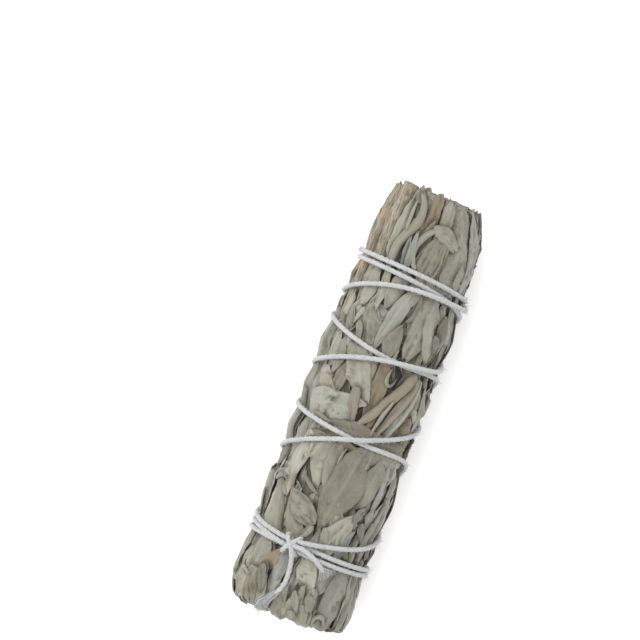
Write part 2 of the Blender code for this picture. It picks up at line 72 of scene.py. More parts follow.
class Value:
    """A shader or geometry socket whose arithmetic adds Math nodes."""

    def __init__(self, book: "NodeBook", socket: bpy.types.NodeSocket) -> None:
        """Wraps a socket.

        Args:
            book: the tree that the socket is in.
            socket: an output socket that holds a number.
        """
        self.book = book
        self.socket = socket

    def math(self, operation: str, *others: object, first: object = None) -> "Value":
        """Adds a Math node.

        Args:
            operation: the node's operation.
            others: its second and third inputs.
            first: its first input, where that isn't this socket.
        Returns:
            The node's result.
        """
        inputs = dict(enumerate([self if first is None else first, *others]))
        return self.book.value(self.book.node("ShaderNodeMath", {"operation": operation}, inputs))

    def __add__(self, other: object) -> "Value":
        """The sum."""
        return self.math("ADD", other)

    def __sub__(self, other: object) -> "Value":
        """The difference."""
        return self.math("SUBTRACT", other)

    def __rsub__(self, other: object) -> "Value":
        """The difference from a number."""
        return self.math("SUBTRACT", self, first=other)

    def __mul__(self, other: object) -> "Value":
        """The product."""
        return self.math("MULTIPLY", other)

    def __truediv__(self, other: object) -> "Value":
        """The quotient."""
        return self.math("DIVIDE", other)

    def __rtruediv__(self, other: object) -> "Value":
        """The quotient of a number by this value."""
        return self.math("DIVIDE", self, first=other)

    __radd__ = __add__
    __rmul__ = __mul__

    def sine(self) -> "Value":
        """The sine of this value."""
        return self.math("SINE")

    def cosine(self) -> "Value":
        """The cosine of this value."""
        return self.math("COSINE")

    def size(self) -> "Value":
        """This value without its sign."""
        return self.math("ABSOLUTE")

    def step(self, low: float, high: float) -> "Value":
        """A smooth rise from 0 at low to 1 at high.

        Args:
            low: where the rise starts.
            high: where it ends. Below low, the rise is a fall.
        Returns:
            The risen value, from 0 to 1.
        """
        turned = high < low
        ends = {1: min(low, high), 2: max(low, high), 3: float(turned), 4: float(not turned)}
        settings = {"interpolation_type": "SMOOTHSTEP"}
        return self.book.value(self.book.node("ShaderNodeMapRange", settings, {0: self, **ends}))


class NodeBook:
    """A node tree written as Python, with one method for any node."""

    def __init__(self, tree: bpy.types.NodeTree) -> None:
        """Starts from an empty tree.

        Args:
            tree: the tree, whose nodes are removed.
        """
        self.tree = tree
        tree.nodes.clear()

    def node(self, kind: str, settings: dict | None = None, inputs: dict | None = None) -> bpy.types.Node:
        """Adds a node.

        Args:
            kind: the node's type.
            settings: its properties, set first.
            inputs: values or links by the name or number of its input sockets.
        Returns:
            The node.
        """
        made = self.tree.nodes.new(kind)
        for name, setting in (settings or {}).items():
            setattr(made, name, setting)
        for key, given in (inputs or {}).items():
            self.feed(made.inputs[key], given)
        return made

    def feed(self, socket: bpy.types.NodeSocket, given: object) -> None:
        """Links or sets one input socket.

        Args:
            socket: the input.
            given: a plain value, or the Value or output socket to link.
        """
        given = given.socket if isinstance(given, Value) else given
        if isinstance(given, bpy.types.NodeSocket):
            self.tree.links.new(given, socket)
        else:
            socket.default_value = given

    def value(self, node: bpy.types.Node, output: int | str = 0) -> Value:
        """An output of a node as a value for arithmetic."""
        return Value(self, node.outputs[output])

    def vector(self, operation: str, inputs: dict) -> bpy.types.NodeSocket:
        """The result of a Vector Math node."""
        return self.node("ShaderNodeVectorMath", {"operation": operation}, inputs).outputs[0]


class Surface(NodeBook):
    """One material with a Principled shader."""

    def __init__(self, name: str) -> None:
        """Makes the material.

        Args:
            name: the material's name.
        """
        self.material = bpy.data.materials.new(name)
        self.material.use_nodes = True
        super().__init__(self.material.node_tree)
        self.place = self.node("ShaderNodeTexCoord").outputs["Object"]

    def colours(self, factor: object, first: object, second: object) -> bpy.types.NodeSocket:
        """Mixes two colours.

        Args:
            factor: how much of the second.
            first: a colour of four numbers, or a socket.
            second: the same.
        Returns:
            The mixed colour's socket.
        """
        inputs = {0: factor, 6: first, 7: second}
        return self.node("ShaderNodeMix", {"data_type": "RGBA"}, inputs).outputs[2]

    def stretched(self, scale: Sequence[float]) -> bpy.types.NodeSocket:
        """Object coordinates scaled by axis, for a pattern with a grain."""
        return self.node("ShaderNodeMapping", inputs={"Vector": self.place, "Scale": scale}).outputs[0]

    def noise(self, scale: float, detail: float = 3.0, rough: float = 0.55, at: object = None) -> Value:
        """A noise pattern.

        Args:
            scale: its cells in each metre, or in each unit of the coordinates.
            detail: its octaves.
            rough: how strong the fine octaves are.
            at: coordinates, where they aren't the object's own.
        Returns:
            The noise, from 0 to 1.
        """
        inputs = {"Vector": at or self.place, "Scale": scale, "Detail": detail, "Roughness": rough}
        return self.value(self.node("ShaderNodeTexNoise", inputs=inputs), 0)

    def attribute(self, name: str) -> bpy.types.Node:
        """A named attribute of the mesh."""
        return self.node("ShaderNodeAttribute", {"attribute_name": name})

    def tints(self) -> tuple[Value, ...]:
        """The first three numbers of the mesh's tint."""
        colour = self.attribute(TINT).outputs["Color"]
        apart = self.node("ShaderNodeSeparateColor", inputs={0: colour})
        return tuple(self.value(apart, k) for k in range(3))

    def bump(self, height: object, strength: float, distance: float) -> bpy.types.NodeSocket:
        """A bumped normal.

        Args:
            height: what stands up.
            strength: the Bump node's strength.
            distance: the height of a full step, in metres.
        Returns:
            The normal's socket.
        """
        inputs = {"Strength": strength, "Distance": distance, "Height": height}
        return self.node("ShaderNodeBump", inputs=inputs).outputs[0]

    def finish(self, **sockets: object) -> bpy.types.Material:
        """Closes the material.

        Args:
            sockets: the Principled shader's inputs, with _ for a space.
        Returns:
            The material.
        """
        inputs = {name.replace("_", " "): given for name, given in sockets.items()}
        shader = self.node("ShaderNodeBsdfPrincipled", inputs=inputs)
        self.node("ShaderNodeOutputMaterial", inputs={"Surface": shader.outputs[0]})
        return self.material


@dataclass(frozen=True)
class SageLeafFinish:
    """Dry sage leaf: matt and felted, grey-green to blue-grey, browner and darker at its edges (partly
    browning, partly painted shade), with painted shade in the hollows between leaves.
    """

    dark: tuple = (0.056, 0.052, 0.033, 1.0)
    pale: tuple = (0.266, 0.261, 0.211, 1.0)
    brown: tuple = (0.155, 0.119, 0.078, 1.0)
    blue: tuple = (0.208, 0.226, 0.226, 1.0)
    brown_rim_and_shade: tuple = (0.115, 0.090, 0.055, 1.0)
    # painted shade for hollows between leaves and for the packed core
    painted_hollow_shade: tuple = (0.020, 0.018, 0.011, 1.0)
    patch_cells: float = 170.0  # cells of a pattern in each metre
    felt_cells: float = 1500.0
    fine_cells: float = 5200.0
    vein_lean: tuple = (5.2, 4.4)  # veins along and across the leaf, in each unit of its map
    relief: float = 0.00016  # metres

    def material(self) -> bpy.types.Material:
        """The leaf material, tinted by each leaf's own attribute.

        Returns:
            The material.
        """
        book = Surface("sage_leaf")
        tone, warm, edge = book.tints()
        unshaded_share = book.value(book.attribute(TINT), "Alpha")
        leaf = book.node("ShaderNodeSeparateXYZ", inputs={0: book.node("ShaderNodeUVMap").outputs[0]})
        across, along = book.value(leaf, 0), book.value(leaf, 1)
        patches = book.noise(self.patch_cells, 4.0)
        felt = book.noise(self.felt_cells, 5.0, 0.65)
        fine = book.noise(self.fine_cells, 2.0)
        waves = along * self.vein_lean[0] + across.size() * self.vein_lean[1]
        vein = (waves * math.tau).sine().step(0.72, 1.0)
        vein = vein * edge.step(0.95, 0.25) * patches.step(0.40, 0.62)
        midrib = across.size().step(0.055, 0.012)
        shade = tone + (patches - 0.5) * 0.5 + (felt - 0.5) * 0.42 + (fine - 0.5) * 0.26
        # Near its edge a leaf darkens a little: partly browning, partly painted shade for the thin shadow at a
        # leaf's edge.
        shade = shade + vein * 0.07 + midrib * 0.10 - edge.step(0.80, 1.0) * 0.07
        colour = book.colours(shade, self.dark, self.pale)
        colour = book.colours((warm - 0.5).step(0.02, 0.42) * 0.9, colour, self.brown)
        colour = book.colours((0.5 - warm).step(0.02, 0.32) * 0.85, colour, self.blue)
        # Rims take a darker brown: partly real browning, partly painted shade for the shadow lines along leaf
        # edges.
        rim_wear_and_shade = edge.step(0.90, 1.0) * (book.noise(420.0, 3.0).step(0.35, 0.60) * 0.6 + 0.25)
        colour = book.colours(rim_wear_and_shade, colour, self.brown_rim_and_shade)
        speck = book.noise(2600.0, 2.0, 0.7).step(0.69, 0.76) * book.noise(120.0).step(0.5, 0.62)
        colour = book.colours(speck * 0.5, colour, self.brown_rim_and_shade)
        # Painted shade: the tint's alpha darkens places in hollows between leaves and the packed core.
        colour = book.colours(1.0 - unshaded_share, colour, self.painted_hollow_shade)
        height = felt * 0.6 + fine * 0.35 + vein * 0.5 + midrib * 0.3
        return book.finish(
            Base_Color=colour,
            Roughness=felt * 0.12 + 0.82,
            Normal=book.bump(height, 0.55, self.relief),
            Sheen_Weight=0.25,
            Sheen_Roughness=0.6,
            Specular_IOR_Level=0.25,
        )


@dataclass(frozen=True)
class WoodyStemFinish:
    """Thin dry bark, grey-brown, peeling to orange wood, with a pale cut end."""

    bark: tuple = (0.140, 0.114, 0.080, 1.0)
    grey: tuple = (0.292, 0.272, 0.212, 1.0)
    wood: tuple = (0.265, 0.190, 0.120, 1.0)
    pith: tuple = (0.290, 0.246, 0.167, 1.0)
    crack: tuple = (0.090, 0.060, 0.036, 1.0)
    grain_cells: tuple = (260.0, 2600.0, 2600.0)  # in each metre along X, Y and Z
    patch_cells: float = 240.0
    relief: float = 0.00025  # metres

    def material(self) -> bpy.types.Material:
        """The stem material, with its grain along the stick.

        Returns:
            The material.
        """
        book = Surface("woody_stem")
        peel, cut, _ = book.tints()
        grain = book.noise(1.0, 5.0, 0.6, at=book.stretched(self.grain_cells))
        patches = book.noise(self.patch_cells, 3.0)
        colour = book.colours(grain.step(0.38, 0.64) * 0.8 + (patches - 0.5) * 0.6, self.bark, self.grey)
        bare = (peel * 0.5 + (patches - 0.5) * 0.9 + (grain - 0.5) * 0.9).step(0.26, 0.52)
        colour = book.colours(bare, colour, self.wood)
        colour = book.colours(grain.step(0.36, 0.30) * 0.6, colour, self.crack)
        colour = book.colours(cut * 0.85, colour, self.pith)
        return book.finish(
            Base_Color=colour,
            Roughness=0.86 - bare * 0.12,
            Normal=book.bump(grain, 0.6, self.relief),
            Specular_IOR_Level=0.3,
        )


@dataclass(frozen=True)
class CottonFinish:
    """White plied cotton, a little grey in its folds."""

    white: tuple = (0.375, 0.380, 0.376, 1.0)
    shade: tuple = (0.280, 0.286, 0.290, 1.0)
    soil: tuple = (0.335, 0.322, 0.287, 1.0)
    fibre_cells: float = 3800.0  # cells of a pattern in each metre
    soil_cells: float = 160.0
    relief: float = 0.00010  # metres

    def material(self) -> bpy.types.Material:
        """The string material.

        Returns:
            The material.
        """
        book = Surface("cotton_string")
        fibre = book.noise(self.fibre_cells, 4.0, 0.7)
        soiled = book.noise(self.soil_cells, 3.0).step(0.52, 0.72) * 0.4
        colour = book.colours(fibre.step(0.30, 0.62), self.shade, self.white)
        colour = book.colours(soiled, colour, self.soil)
        return book.finish(
            Base_Color=colour,
            Roughness=fibre * 0.08 + 0.86,
            Normal=book.bump(fibre, 0.4, self.relief),
            Sheen_Weight=0.3,
            Sheen_Roughness=0.5,
            Specular_IOR_Level=0.2,
        )


@dataclass(frozen=True)
class StringRoute:
    """The path of the one string: up the stick in wide turns and back, then the knot."""

    turns: tuple = (
        (85.0, 83.4, 78.0, 68.0),
        (65.3, 58.3, 51.4, 46.0),
        (44.9, 39.3, 36.3, 28.0),
        (27.0, 22.2, 22.0, 17.2),
        (17.2, 18.4, 20.2, 19.4),
        (18.9, 20.2, 24.2, 32.0),
        (33.4, 38.4, 40.0, 51.0),
        (54.9, 58.2, 60.7, 75.5),
        (81.7, 84.6, 85.4, 84.7),
        (83.4, 86.2, 86.7, 86.0),
        (85.1, 85.6, 85.6, 85.6),
    )
    start: float = -12.0
    end: float = 3578.0
    later_turns: int = 4
    radius: float = 0.75
    lift: float = 0.85
    spacing: float = 1.85
    far: float = 99.0  # more than any distance that matters

    def along(self, angle: np.ndarray) -> np.ndarray:
        """How far from the cut end the string is, on a smooth curve through the readings.

        Args:
            angle: degrees wound since the first crown passage.
        Returns:
            Millimetres from the cut end.
        """
        readings = np.array([reading for turn in self.turns for reading in turn])
        slopes = np.gradient(readings)
        place = (np.clip(angle, self.start, self.end) + 90.0) / 90.0
        low = np.clip(np.floor(place).astype(int), 0, len(readings) - 2)
        t = place - low
        rise = readings[low + 1] - readings[low]
        bend = (1 - t) * (slopes[low] - rise) - t * (slopes[low + 1] - rise)
        return readings[low] + t * rise + t * (1 - t) * bend

    def wound(self, angle: np.ndarray) -> np.ndarray:
        """Whether the string is there at an angle."""
        return (angle >= self.start) & (angle <= self.end)

    def distance(self, along: np.ndarray, angle: np.ndarray) -> np.ndarray:
        """How far a place is from the nearest turn, along the stick.

        Args:
            along: millimetres from the cut end.
            angle: degrees round from the crown.
        Returns:
            Millimetres.
        """
        once = np.mod(angle + 90.0, 360.0) - 90.0
        nearest = np.full(np.broadcast(along, once).shape, self.far)
        for turn in range(len(self.turns)):
            at = once + 360.0 * turn
            gap = np.abs(along - self.along(at))
            nearest = np.where(self.wound(at), np.minimum(nearest, gap), nearest)
        return nearest


@dataclass(frozen=True)
class Bundle:
    """The stick's outer form, by the same rule as the solids."""

    length: float = 102.0
    axis_height: float = 13.6
    free: float = 14.05
    press_depth: float = 0.9
    press_reach: float = 4.0
    shoulder: float = 1.1
    taper: float = 0.002  # how much the radius grows with each millimetre from the cut end
    waists: tuple = ((0.9, 18.0), (1.6, 3.0))  # (depth, reach) of the two draw-ins at the cut end
    stem_side: tuple = (2.2, 24.0)  # depth and reach of the draw-in beside the bare stems
    far_side: tuple = (1.5, 7.0)  # the same on the cut end's other side
    closing: tuple = (1.2, 0.5, 3.2)  # at the knotted end: depth, how uneven it is, and reach
    ragged: float = 0.65  # how uneven the knotted end's edge is
    most_fold: float = 1.7  # radians that a leaf folds in over the knotted end
    square: float = 1.57  # radians from which a fold reaches no further out
    tuck: float = 0.20  # how far a fold draws in, as a share of the radius
    string: StringRoute = StringRoute()

    def free_radius(self, along: np.ndarray) -> np.ndarray:
        """The radius between strings, narrower at the cut end.

        Args:
            along: millimetres from the cut end.
        Returns:
            Millimetres from the axis.
        """
        (long, long_reach), (short, short_reach) = self.waists
        waist = long * np.exp(-along / long_reach) + short * np.exp(-np.maximum(along, 0.0) / short_reach)
        return self.free + self.taper * along - waist

    def radius(self, along: np.ndarray, angle: np.ndarray) -> np.ndarray:
        """The radius with the strings pressed in.

        Args:
            along: millimetres from the cut end.
            angle: degrees round from the crown.
        Returns:
            Millimetres from the axis.
        """
        gap = self.string.distance(along, angle)
        pressed = self.press_depth * np.exp(-((gap / self.press_reach) ** 2))
        across = np.sin(np.radians(angle))
        depth, reach = self.stem_side
        beside_stems = depth * np.exp(-((along / reach) ** 2)) * np.maximum(-across, 0.0) ** 3
        deep, uneven, near = self.closing
        closing = (deep - uneven * across) * np.exp(-(((self.length - along) / near) ** 2)) * across**2
        return self.free_radius(along) - pressed - beside_stems - closing

    def floor(self, angle: np.ndarray, height: float) -> np.ndarray:
        """The radius at which an underside place is that far over what the stick lies on.

        Args:
            angle: degrees round from the crown.
            height: how far over it, in millimetres.
        Returns:
            Millimetres from the axis, and very many for a place that isn't on the underside.
        """
        down = -np.cos(np.radians(angle))
        least = 0.2
        return np.where(down > least, (self.axis_height - height) / np.maximum(down, least), 1e3)

    def placed(self, along: np.ndarray, angle: np.ndarray, radius: np.ndarray) -> np.ndarray:
        """Points in metres. Past the knotted end's shoulder a place folds in over the end.

        Args:
            along: millimetres from the cut end, along the leaf.
            angle: degrees round from the crown.
            radius: millimetres from the axis.
        Returns:
            An array of points.
        """
        turn = np.radians(angle)
        uneven = self.ragged * (1 + 0.6 * np.sin(13 * turn) + 0.4 * np.sin(37 * turn + 1.0))
        bend = self.length - self.shoulder - uneven
        past = np.clip((along - bend) / self.shoulder, 0.0, self.most_fold)
        straight = np.minimum(along, bend) + self.shoulder * np.sin(np.minimum(past, self.square))
        drawn = radius * (1 - self.tuck * (1 - np.cos(past)))
        depth, reach = self.far_side
        near = np.exp(-((np.maximum(along, 0.0) / reach) ** 2))
        drawn = drawn - depth * near * np.maximum(np.sin(turn), 0.0) ** 2
        x = self.length / 2 - straight
        points = np.broadcast_arrays(x, -drawn * np.sin(turn), self.axis_height + drawn * np.cos(turn))
        return np.stack(points, axis=-1) * MM

    def arc(self, across: float) -> float:
        """The arc from the crown to a place seen this far across from straight above."""
        return self.free * math.asin(max(-1.0, min(1.0, across / self.free)))

    def shorter(self, arc: np.ndarray) -> np.ndarray:
        """An arc from the crown, taken the shorter way round."""
        half = math.pi * self.free
        return (arc + half) % (math.tau * self.free) - half

    def string_line(self, step: float) -> tuple[np.ndarray, np.ndarray, np.ndarray]:
        """The wound string's centre line, which rises and is pressed in where strands cross.

        Args:
            step: degrees between points.
        Returns:
            Distances from the cut end, angles and radii.
        """
        route = self.string
        angle = np.append(np.arange(route.start, route.end, step), route.end)
        along = route.along(angle)
        resting = self.radius(along, angle) + route.lift
        last_later = 360.0 * route.later_turns - 90.0
        later = angle < last_later
        apart = np.zeros_like(angle)
        for shift in range(-len(route.turns), len(route.turns) + 1):
            other = angle + 360.0 * shift
            crossing = route.wound(other) & (shift != 0) & (later != (other < last_later))
            gap = np.abs(along - route.along(other))
            needed = np.sqrt(np.maximum(route.spacing**2 - gap**2, 0.0))
            apart = np.maximum(apart, np.where(crossing, needed, 0.0))
        floor = self.floor(angle, route.radius)
        over = np.minimum(resting + 0.7 * apart, floor)
        return along, angle, np.where(later, over, np.minimum(over - apart, floor))


def softened(values: np.ndarray, reach: float, wrapped: bool = False) -> np.ndarray:
    """A grid blurred along both its axes.

    Args:
        values: the grid.
        reach: the blur's standard deviation, in cells.
        wrapped: whether the columns go round.
    Returns:
        The blurred grid.
    """
    half = max(1, int(2.5 * reach))
    weights = np.exp(-0.5 * (np.arange(-half, half + 1) / reach) ** 2)
    weights /= weights.sum()
    for axis, mode in ((0, "edge"), (1, "wrap" if wrapped else "edge")):
        pad = [(half, half) if k == axis else (0, 0) for k in range(2)]
        wide = np.pad(values, pad, mode=mode)
        count = values.shape[axis]
        values = sum(
            weight * np.take(wide, range(k, k + count), axis=axis) for k, weight in enumerate(weights)
        )
    return values


def widened(values: np.ndarray, reach: int) -> np.ndarray:
    """A grid with each cell raised to the highest within a square around it.

    Args:
        values: the grid.
        reach: how far the square goes from its middle cell, in cells.
    Returns:
        The raised grid.
    """
    for axis in range(2):
        pad = [(reach, reach) if k == axis else (0, 0) for k in range(2)]
        wide = np.pad(values, pad, mode="edge")
        count = values.shape[axis]
        shifted = [np.take(wide, range(k, k + count), axis=axis) for k in range(2 * reach + 1)]
        values = np.max(shifted, axis=0)
    return values


def between(rows: np.ndarray, at: np.ndarray) -> np.ndarray:
    """Rows of three numbers, read at places between them."""
    return np.stack([np.interp(at, range(len(rows)), rows[:, k]) for k in range(3)], axis=-1)


def rounded_line(knots: np.ndarray, steps: int, passes: int) -> np.ndarray:
    """A line through knots, with its corners rounded off.

    Args:
        knots: the points that it goes through.
        steps: how many points it gets.
        passes: how often each point is drawn towards its neighbours.
    Returns:
        The line's points.
    """
    line = between(knots, np.linspace(0, len(knots) - 1, steps))
    for _ in range(passes):
        line[1:-1] = (line[:-2] + 2 * line[1:-1] + line[2:]) / 4
    return line


def directions(line: np.ndarray) -> tuple[np.ndarray, np.ndarray, np.ndarray]:
    """The directions along, beside and over a line.

    Args:
        line: its points.
    Returns:
        Three arrays of unit vectors, one for each point.
    """
    run = np.gradient(line, axis=0)
    run /= np.linalg.norm(run, axis=1)[:, None]
    side = np.cross(run, (0.0, 0.0, 1.0))
    side /= np.linalg.norm(side, axis=1)[:, None]
    return run, side, np.cross(side, run)


@dataclass
class Crinkle:
    """Seeded smooth noise on a plane, from -1 to 1."""

    seed: int
    cells: int = 96

    def __post_init__(self) -> None:
        """Draws the grid."""
        self.grid = np.random.default_rng(self.seed).uniform(-1.0, 1.0, (self.cells, self.cells))

    def at(self, x: np.ndarray, y: np.ndarray) -> np.ndarray:
        """The noise at points.

        Args:
            x: the points' first coordinate, in cells.
            y: their second.
        Returns:
            The noise, in the shape that both make together.
        """
        i, j = np.floor(x).astype(int), np.floor(y).astype(int)
        u, v = x - i, y - j
        u, v = u * u * (3 - 2 * u), v * v * (3 - 2 * v)
        corner = [self.grid[(i + a) % self.cells, (j + b) % self.cells] for a in (0, 1) for b in (0, 1)]
        return (corner[0] * (1 - v) + corner[1] * v) * (1 - u) + (corner[2] * (1 - v) + corner[3] * v) * u


class Form(Enum):
    """How a pressed leaf has dried."""

    FLAT = "flat"
    RIBBED = "ribbed"
    GROOVED = "grooved"
    FOLDED = "folded"
    ROLLED = "rolled"
    PLEATED = "pleated"
    CRUMPLED = "crumpled"


@dataclass(frozen=True)
class Leaf:
    """One leaf on the rolled-out bundle: a form, a width and the line of its midrib."""

    form: Form
    width: float
    route: tuple  # (from the cut end, arc from the crown) of each control point
    tone: float = 0.5
    warm: float = 0.0
    roll: float = 0.22
    cup: float = 0.0
    tilt: float = 0.0
    blunt: float = 0.0
    crease: float = 0.0  # how much a second fold, across the leaf, lifts what is past it
    seed: int = 0
    coarse: float = 1.0

    def line(self, t: np.ndarray) -> np.ndarray:
        """The midrib's points, on a Bezier curve through the route's ends.

        Args:
            t: from 0 at the root to 1 at the tip.
        Returns:
            The distance from the cut end and the arc of each.
        """
        points = [np.array(place, float) for place in self.route]
        while len(points) > 1:
            points = [a + (b - a) * t[:, None] for a, b in zip(points, points[1:])]
        return points[0]

    def length(self) -> float:
        """The midrib's length."""
        return float(np.linalg.norm(np.diff(self.line(np.linspace(0, 1, 24)), axis=0), axis=1).sum())

    def half_width(self, t: np.ndarray, side: np.ndarray, wander: np.ndarray) -> np.ndarray:
        """Half the leaf's width along it, waved at its edges.

        Args:
            t: from 0 at the root to 1 at the tip.
            side: -1 on one side of the midrib and 1 on the other.
            wander: noise at the same points.
        Returns:
            Millimetres.
        """
        draw = np.random.default_rng(1000 + self.seed)
        knots = (0.0, 0.13, 0.36, 0.62, 0.86, 1.0)
        pointed = np.array((0.26, 0.70, 1.0, 0.88, 0.44, 0.04))
        square = np.array((0.78, 0.95, 1.0, 1.0, 0.93, 0.68))
        shares = pointed + (square - pointed) * self.blunt
        left, right = (np.interp(t, knots, shares * draw.uniform(0.80, 1.14, 6)) for _ in range(2))
        wave = 1 + 0.03 * np.sin(13.0 * t + 2.2 * side + self.seed) + 0.09 * wander
        return self.width / 2 * np.where(side < 0, left, right) * wave

    def slant(self, t: np.ndarray) -> np.ndarray:
        """How far the ends lean along the leaf for each millimetre across."""
        root, tip = np.random.default_rng(2000 + self.seed).uniform(-0.75, 0.75, 2) * (0.4 + self.blunt)
        return root * np.clip(1 - 4 * t, 0, 1) + tip * np.clip(4 * t - 3, 0, 1)

    def relief(self, t: np.ndarray, w: np.ndarray, crinkle: np.ndarray) -> np.ndarray:
        """How high the leaf's upper face stands over where it is laid.

        Args:
            t: from 0 at the root to 1 at the tip.
            w: from -1 to 1 across.
            crinkle: noise at the same points.
        Returns:
            Heights in millimetres.
        """
        u = np.abs(w)
        high = -self.roll * u**4 + self.cup * u**2 + self.tilt * w + 0.34 * (np.abs(crinkle) - 0.35)
        high = high + 0.16 * np.sin(11.0 * t + 1.7 * np.sign(w) + self.seed) * u**2
        fold = w * math.cos(self.seed) + (2 * t - 1) * math.sin(self.seed) - 0.35
        high = high + self.crease * np.where(fold > 0, fold, 0.0)
        if self.form is Form.RIBBED:
            ridge = 0.34 * np.exp(-((w / 0.09) ** 2)) * (1 - 0.6 * t)
            high = high + ridge - 0.14 * np.exp(-(((u - 0.3) / 0.18) ** 2))
        elif self.form is Form.GROOVED:
            high = high - 0.34 * np.exp(-((w / 0.10) ** 2)) + 0.12 * u
        elif self.form is Form.FOLDED:
            crease = 0.25 * np.sin(2.0 * t + self.seed) * 0.6
            high = high + 0.42 / (1 + np.exp(-(w - crease) / 0.035)) + 0.15 * (w > crease) * (1 - u)
        elif self.form is Form.ROLLED:
            round_top = 0.46 * self.width * np.sqrt(np.maximum(1 - u**2, 0.0))
            seam = 0.22 * np.exp(-(((w - 0.35) / 0.10) ** 2))
            high = round_top - seam + 0.10 * crinkle
        elif self.form is Form.PLEATED:
            folds = np.abs(np.sin(np.pi * (2.8 * (w + 0.16 * np.sin(4 * t)) + 0.2))) ** 0.8
            high = high + 1.0 * folds * np.sin(np.pi * np.clip(0.12 + t, 0, 1)) ** 0.7
        elif self.form is Form.CRUMPLED:
            high = high + 0.85 * np.abs(crinkle)
        return high


@dataclass
class LeafBed:
    """The leaves laid so far, as heights on the bundle rolled out flat."""

    bundle: Bundle
    cell: float = 0.25
    margin: float = 6.0
    thickness: float = 0.26
    flatness: float = 0.6  # how much of a leaf's lie is a plane, and not a drape over what is below
    sink: float = 0.14  # how far a leaf sinks into those below
    finer: int = 4  # how much finer than its own points a leaf is marked on the bed
    mean_reach: float = 4.2  # over which the bed's mean height is taken
    around_reach: float = 0.45  # over which a place's surroundings are
    string_reach: float = 2.2  # how far from its middle the string holds leaves down
    unlimited: float = 50.0  # the radius allowed where no string is near
    highest: float = 0.75  # that a leaf stands out, after pressing
    deepest: float = 1.15
    string_gap: float = 0.04
    floor_gap: float = 0.03

    def __post_init__(self) -> None:
        """Starts with a bare bundle."""
        self.rows = int((self.bundle.length + 2 * self.margin) / self.cell)
        self.columns = round(math.tau * self.bundle.free / self.cell)
        self.height = np.zeros((self.rows, self.columns))

    def cells(self, along: np.ndarray, arc: np.ndarray) -> tuple[np.ndarray, np.ndarray]:
        """The row and unwrapped column of places, with fractions."""
        return (along + self.margin) / self.cell, arc * self.columns / (math.tau * self.bundle.free)

    def read(self, grid: np.ndarray, along: np.ndarray, arc: np.ndarray) -> np.ndarray:
        """A grid's values between its cells.

        Args:
            grid: the grid.
            along: the places' distances from the cut end.
            arc: their arcs from the crown.
        Returns:
            The values.
        """
        row, column = self.cells(along, arc)
        row = np.clip(row, 0, self.rows - 2)
        i, j = np.floor(row).astype(int), np.floor(column).astype(int)
        u, v = row - i, column - j
        left, right = j % self.columns, (j + 1) % self.columns
        low = grid[i, left] * (1 - v) + grid[i, right] * v
        return low * (1 - u) + (grid[i + 1, left] * (1 - v) + grid[i + 1, right] * v) * u

    def lay(self, along: np.ndarray, arc: np.ndarray, relief: np.ndarray, stiffness: float) -> np.ndarray:
        """Lays a leaf over those below.

        Args:
            along: the leaf's places, from the cut end.
            arc: its places round the bundle.
            relief: its own relief.
            stiffness: how far it bridges over what is below, in millimetres.
        Returns:
            The heights of its upper face.
        """
        row, column = self.cells(along, arc)
        pad = int(3 * stiffness / self.cell) + 3
        first_row, last_row = max(int(row.min()) - pad, 0), min(int(row.max()) + pad, self.rows)
        first_column = int(np.floor(column.min())) - pad
        turned = np.arange(first_column, int(column.max()) + pad) % self.columns
        patch = self.height[first_row:last_row][:, turned]
        raised = softened(widened(patch, 1), stiffness / self.cell)
        i = np.clip(np.round(row).astype(int) - first_row, 0, raised.shape[0] - 1)
        j = np.clip(np.round(column).astype(int) - first_column, 0, raised.shape[1] - 1)
        draped = raised[i, j]
        down, over = (row - row.mean()).ravel(), (column - column.mean()).ravel()
        places = np.stack([np.ones(row.size), down, over], axis=-1)
        plane = (places @ np.linalg.lstsq(places, draped.ravel(), rcond=None)[0]).reshape(row.shape)
        under = np.maximum(draped + (plane - draped) * self.flatness, patch[i, j] - self.sink)
        top = under + self.thickness + relief
        self.stamp(row, column, top)
        return top

    def stamp(self, row: np.ndarray, column: np.ndarray, top: np.ndarray) -> None:
        """Marks a leaf's upper face on the bed, with points between its own.

        Args:
            row: the bed's row at each of the leaf's points.
            column: its column there.
            top: the face's height there.
        """
        shares = np.linspace(0, 1, self.finer, endpoint=False)
        for a in shares:
            for b in shares:
                r, c, h = (
                    (g[:-1, :-1] * (1 - b) + g[:-1, 1:] * b) * (1 - a)
                    + (g[1:, :-1] * (1 - b) + g[1:, 1:] * b) * a
                    for g in (row, column, top)
                )
                i = np.clip(np.round(r).astype(int), 0, self.rows - 1)
                np.maximum.at(self.height, (i, np.round(c).astype(int) % self.columns), h)

    def settle(self) -> None:
        """Reads the bed's mean height and what the string leaves free, once all leaves are laid."""
        self.mean = softened(self.height, self.mean_reach / self.cell, wrapped=True)
        self.around = softened(widened(self.height, 1), self.around_reach / self.cell, wrapped=True)
        self.limit = np.full_like(self.height, self.unlimited)
        along, angle, radius = self.bundle.string_line(1.0)
        row, column = self.cells(along, self.bundle.free * np.radians(angle))
        width = self.bundle.string.radius
        reach = int(self.string_reach / self.cell)
        for di in range(-reach, reach + 1):
            for dj in range(-reach, reach + 1):
                i, j = np.round(row).astype(int) + di, np.round(column).astype(int) + dj
                gap = np.hypot(i - row, j - column) * self.cell
                sunk = np.sqrt(np.maximum(width**2 - gap**2, 0.0))
                inside = radius - sunk + np.maximum(gap - width, 0.0) * 1.3
                np.minimum.at(self.limit, (np.clip(i, 0, self.rows - 1), j % self.columns), inside)

    def unshaded_share(self, along: np.ndarray, arc: np.ndarray, height: np.ndarray) -> np.ndarray:
        """How little painted shade a place gets for lying in a hollow between leaves.

        Args:
            along: the places' distances from the cut end.
            arc: their arcs from the crown.
            height: their heights in the bed.
        Returns:
            From nearly 0 deep down to 1 in the open.
        """
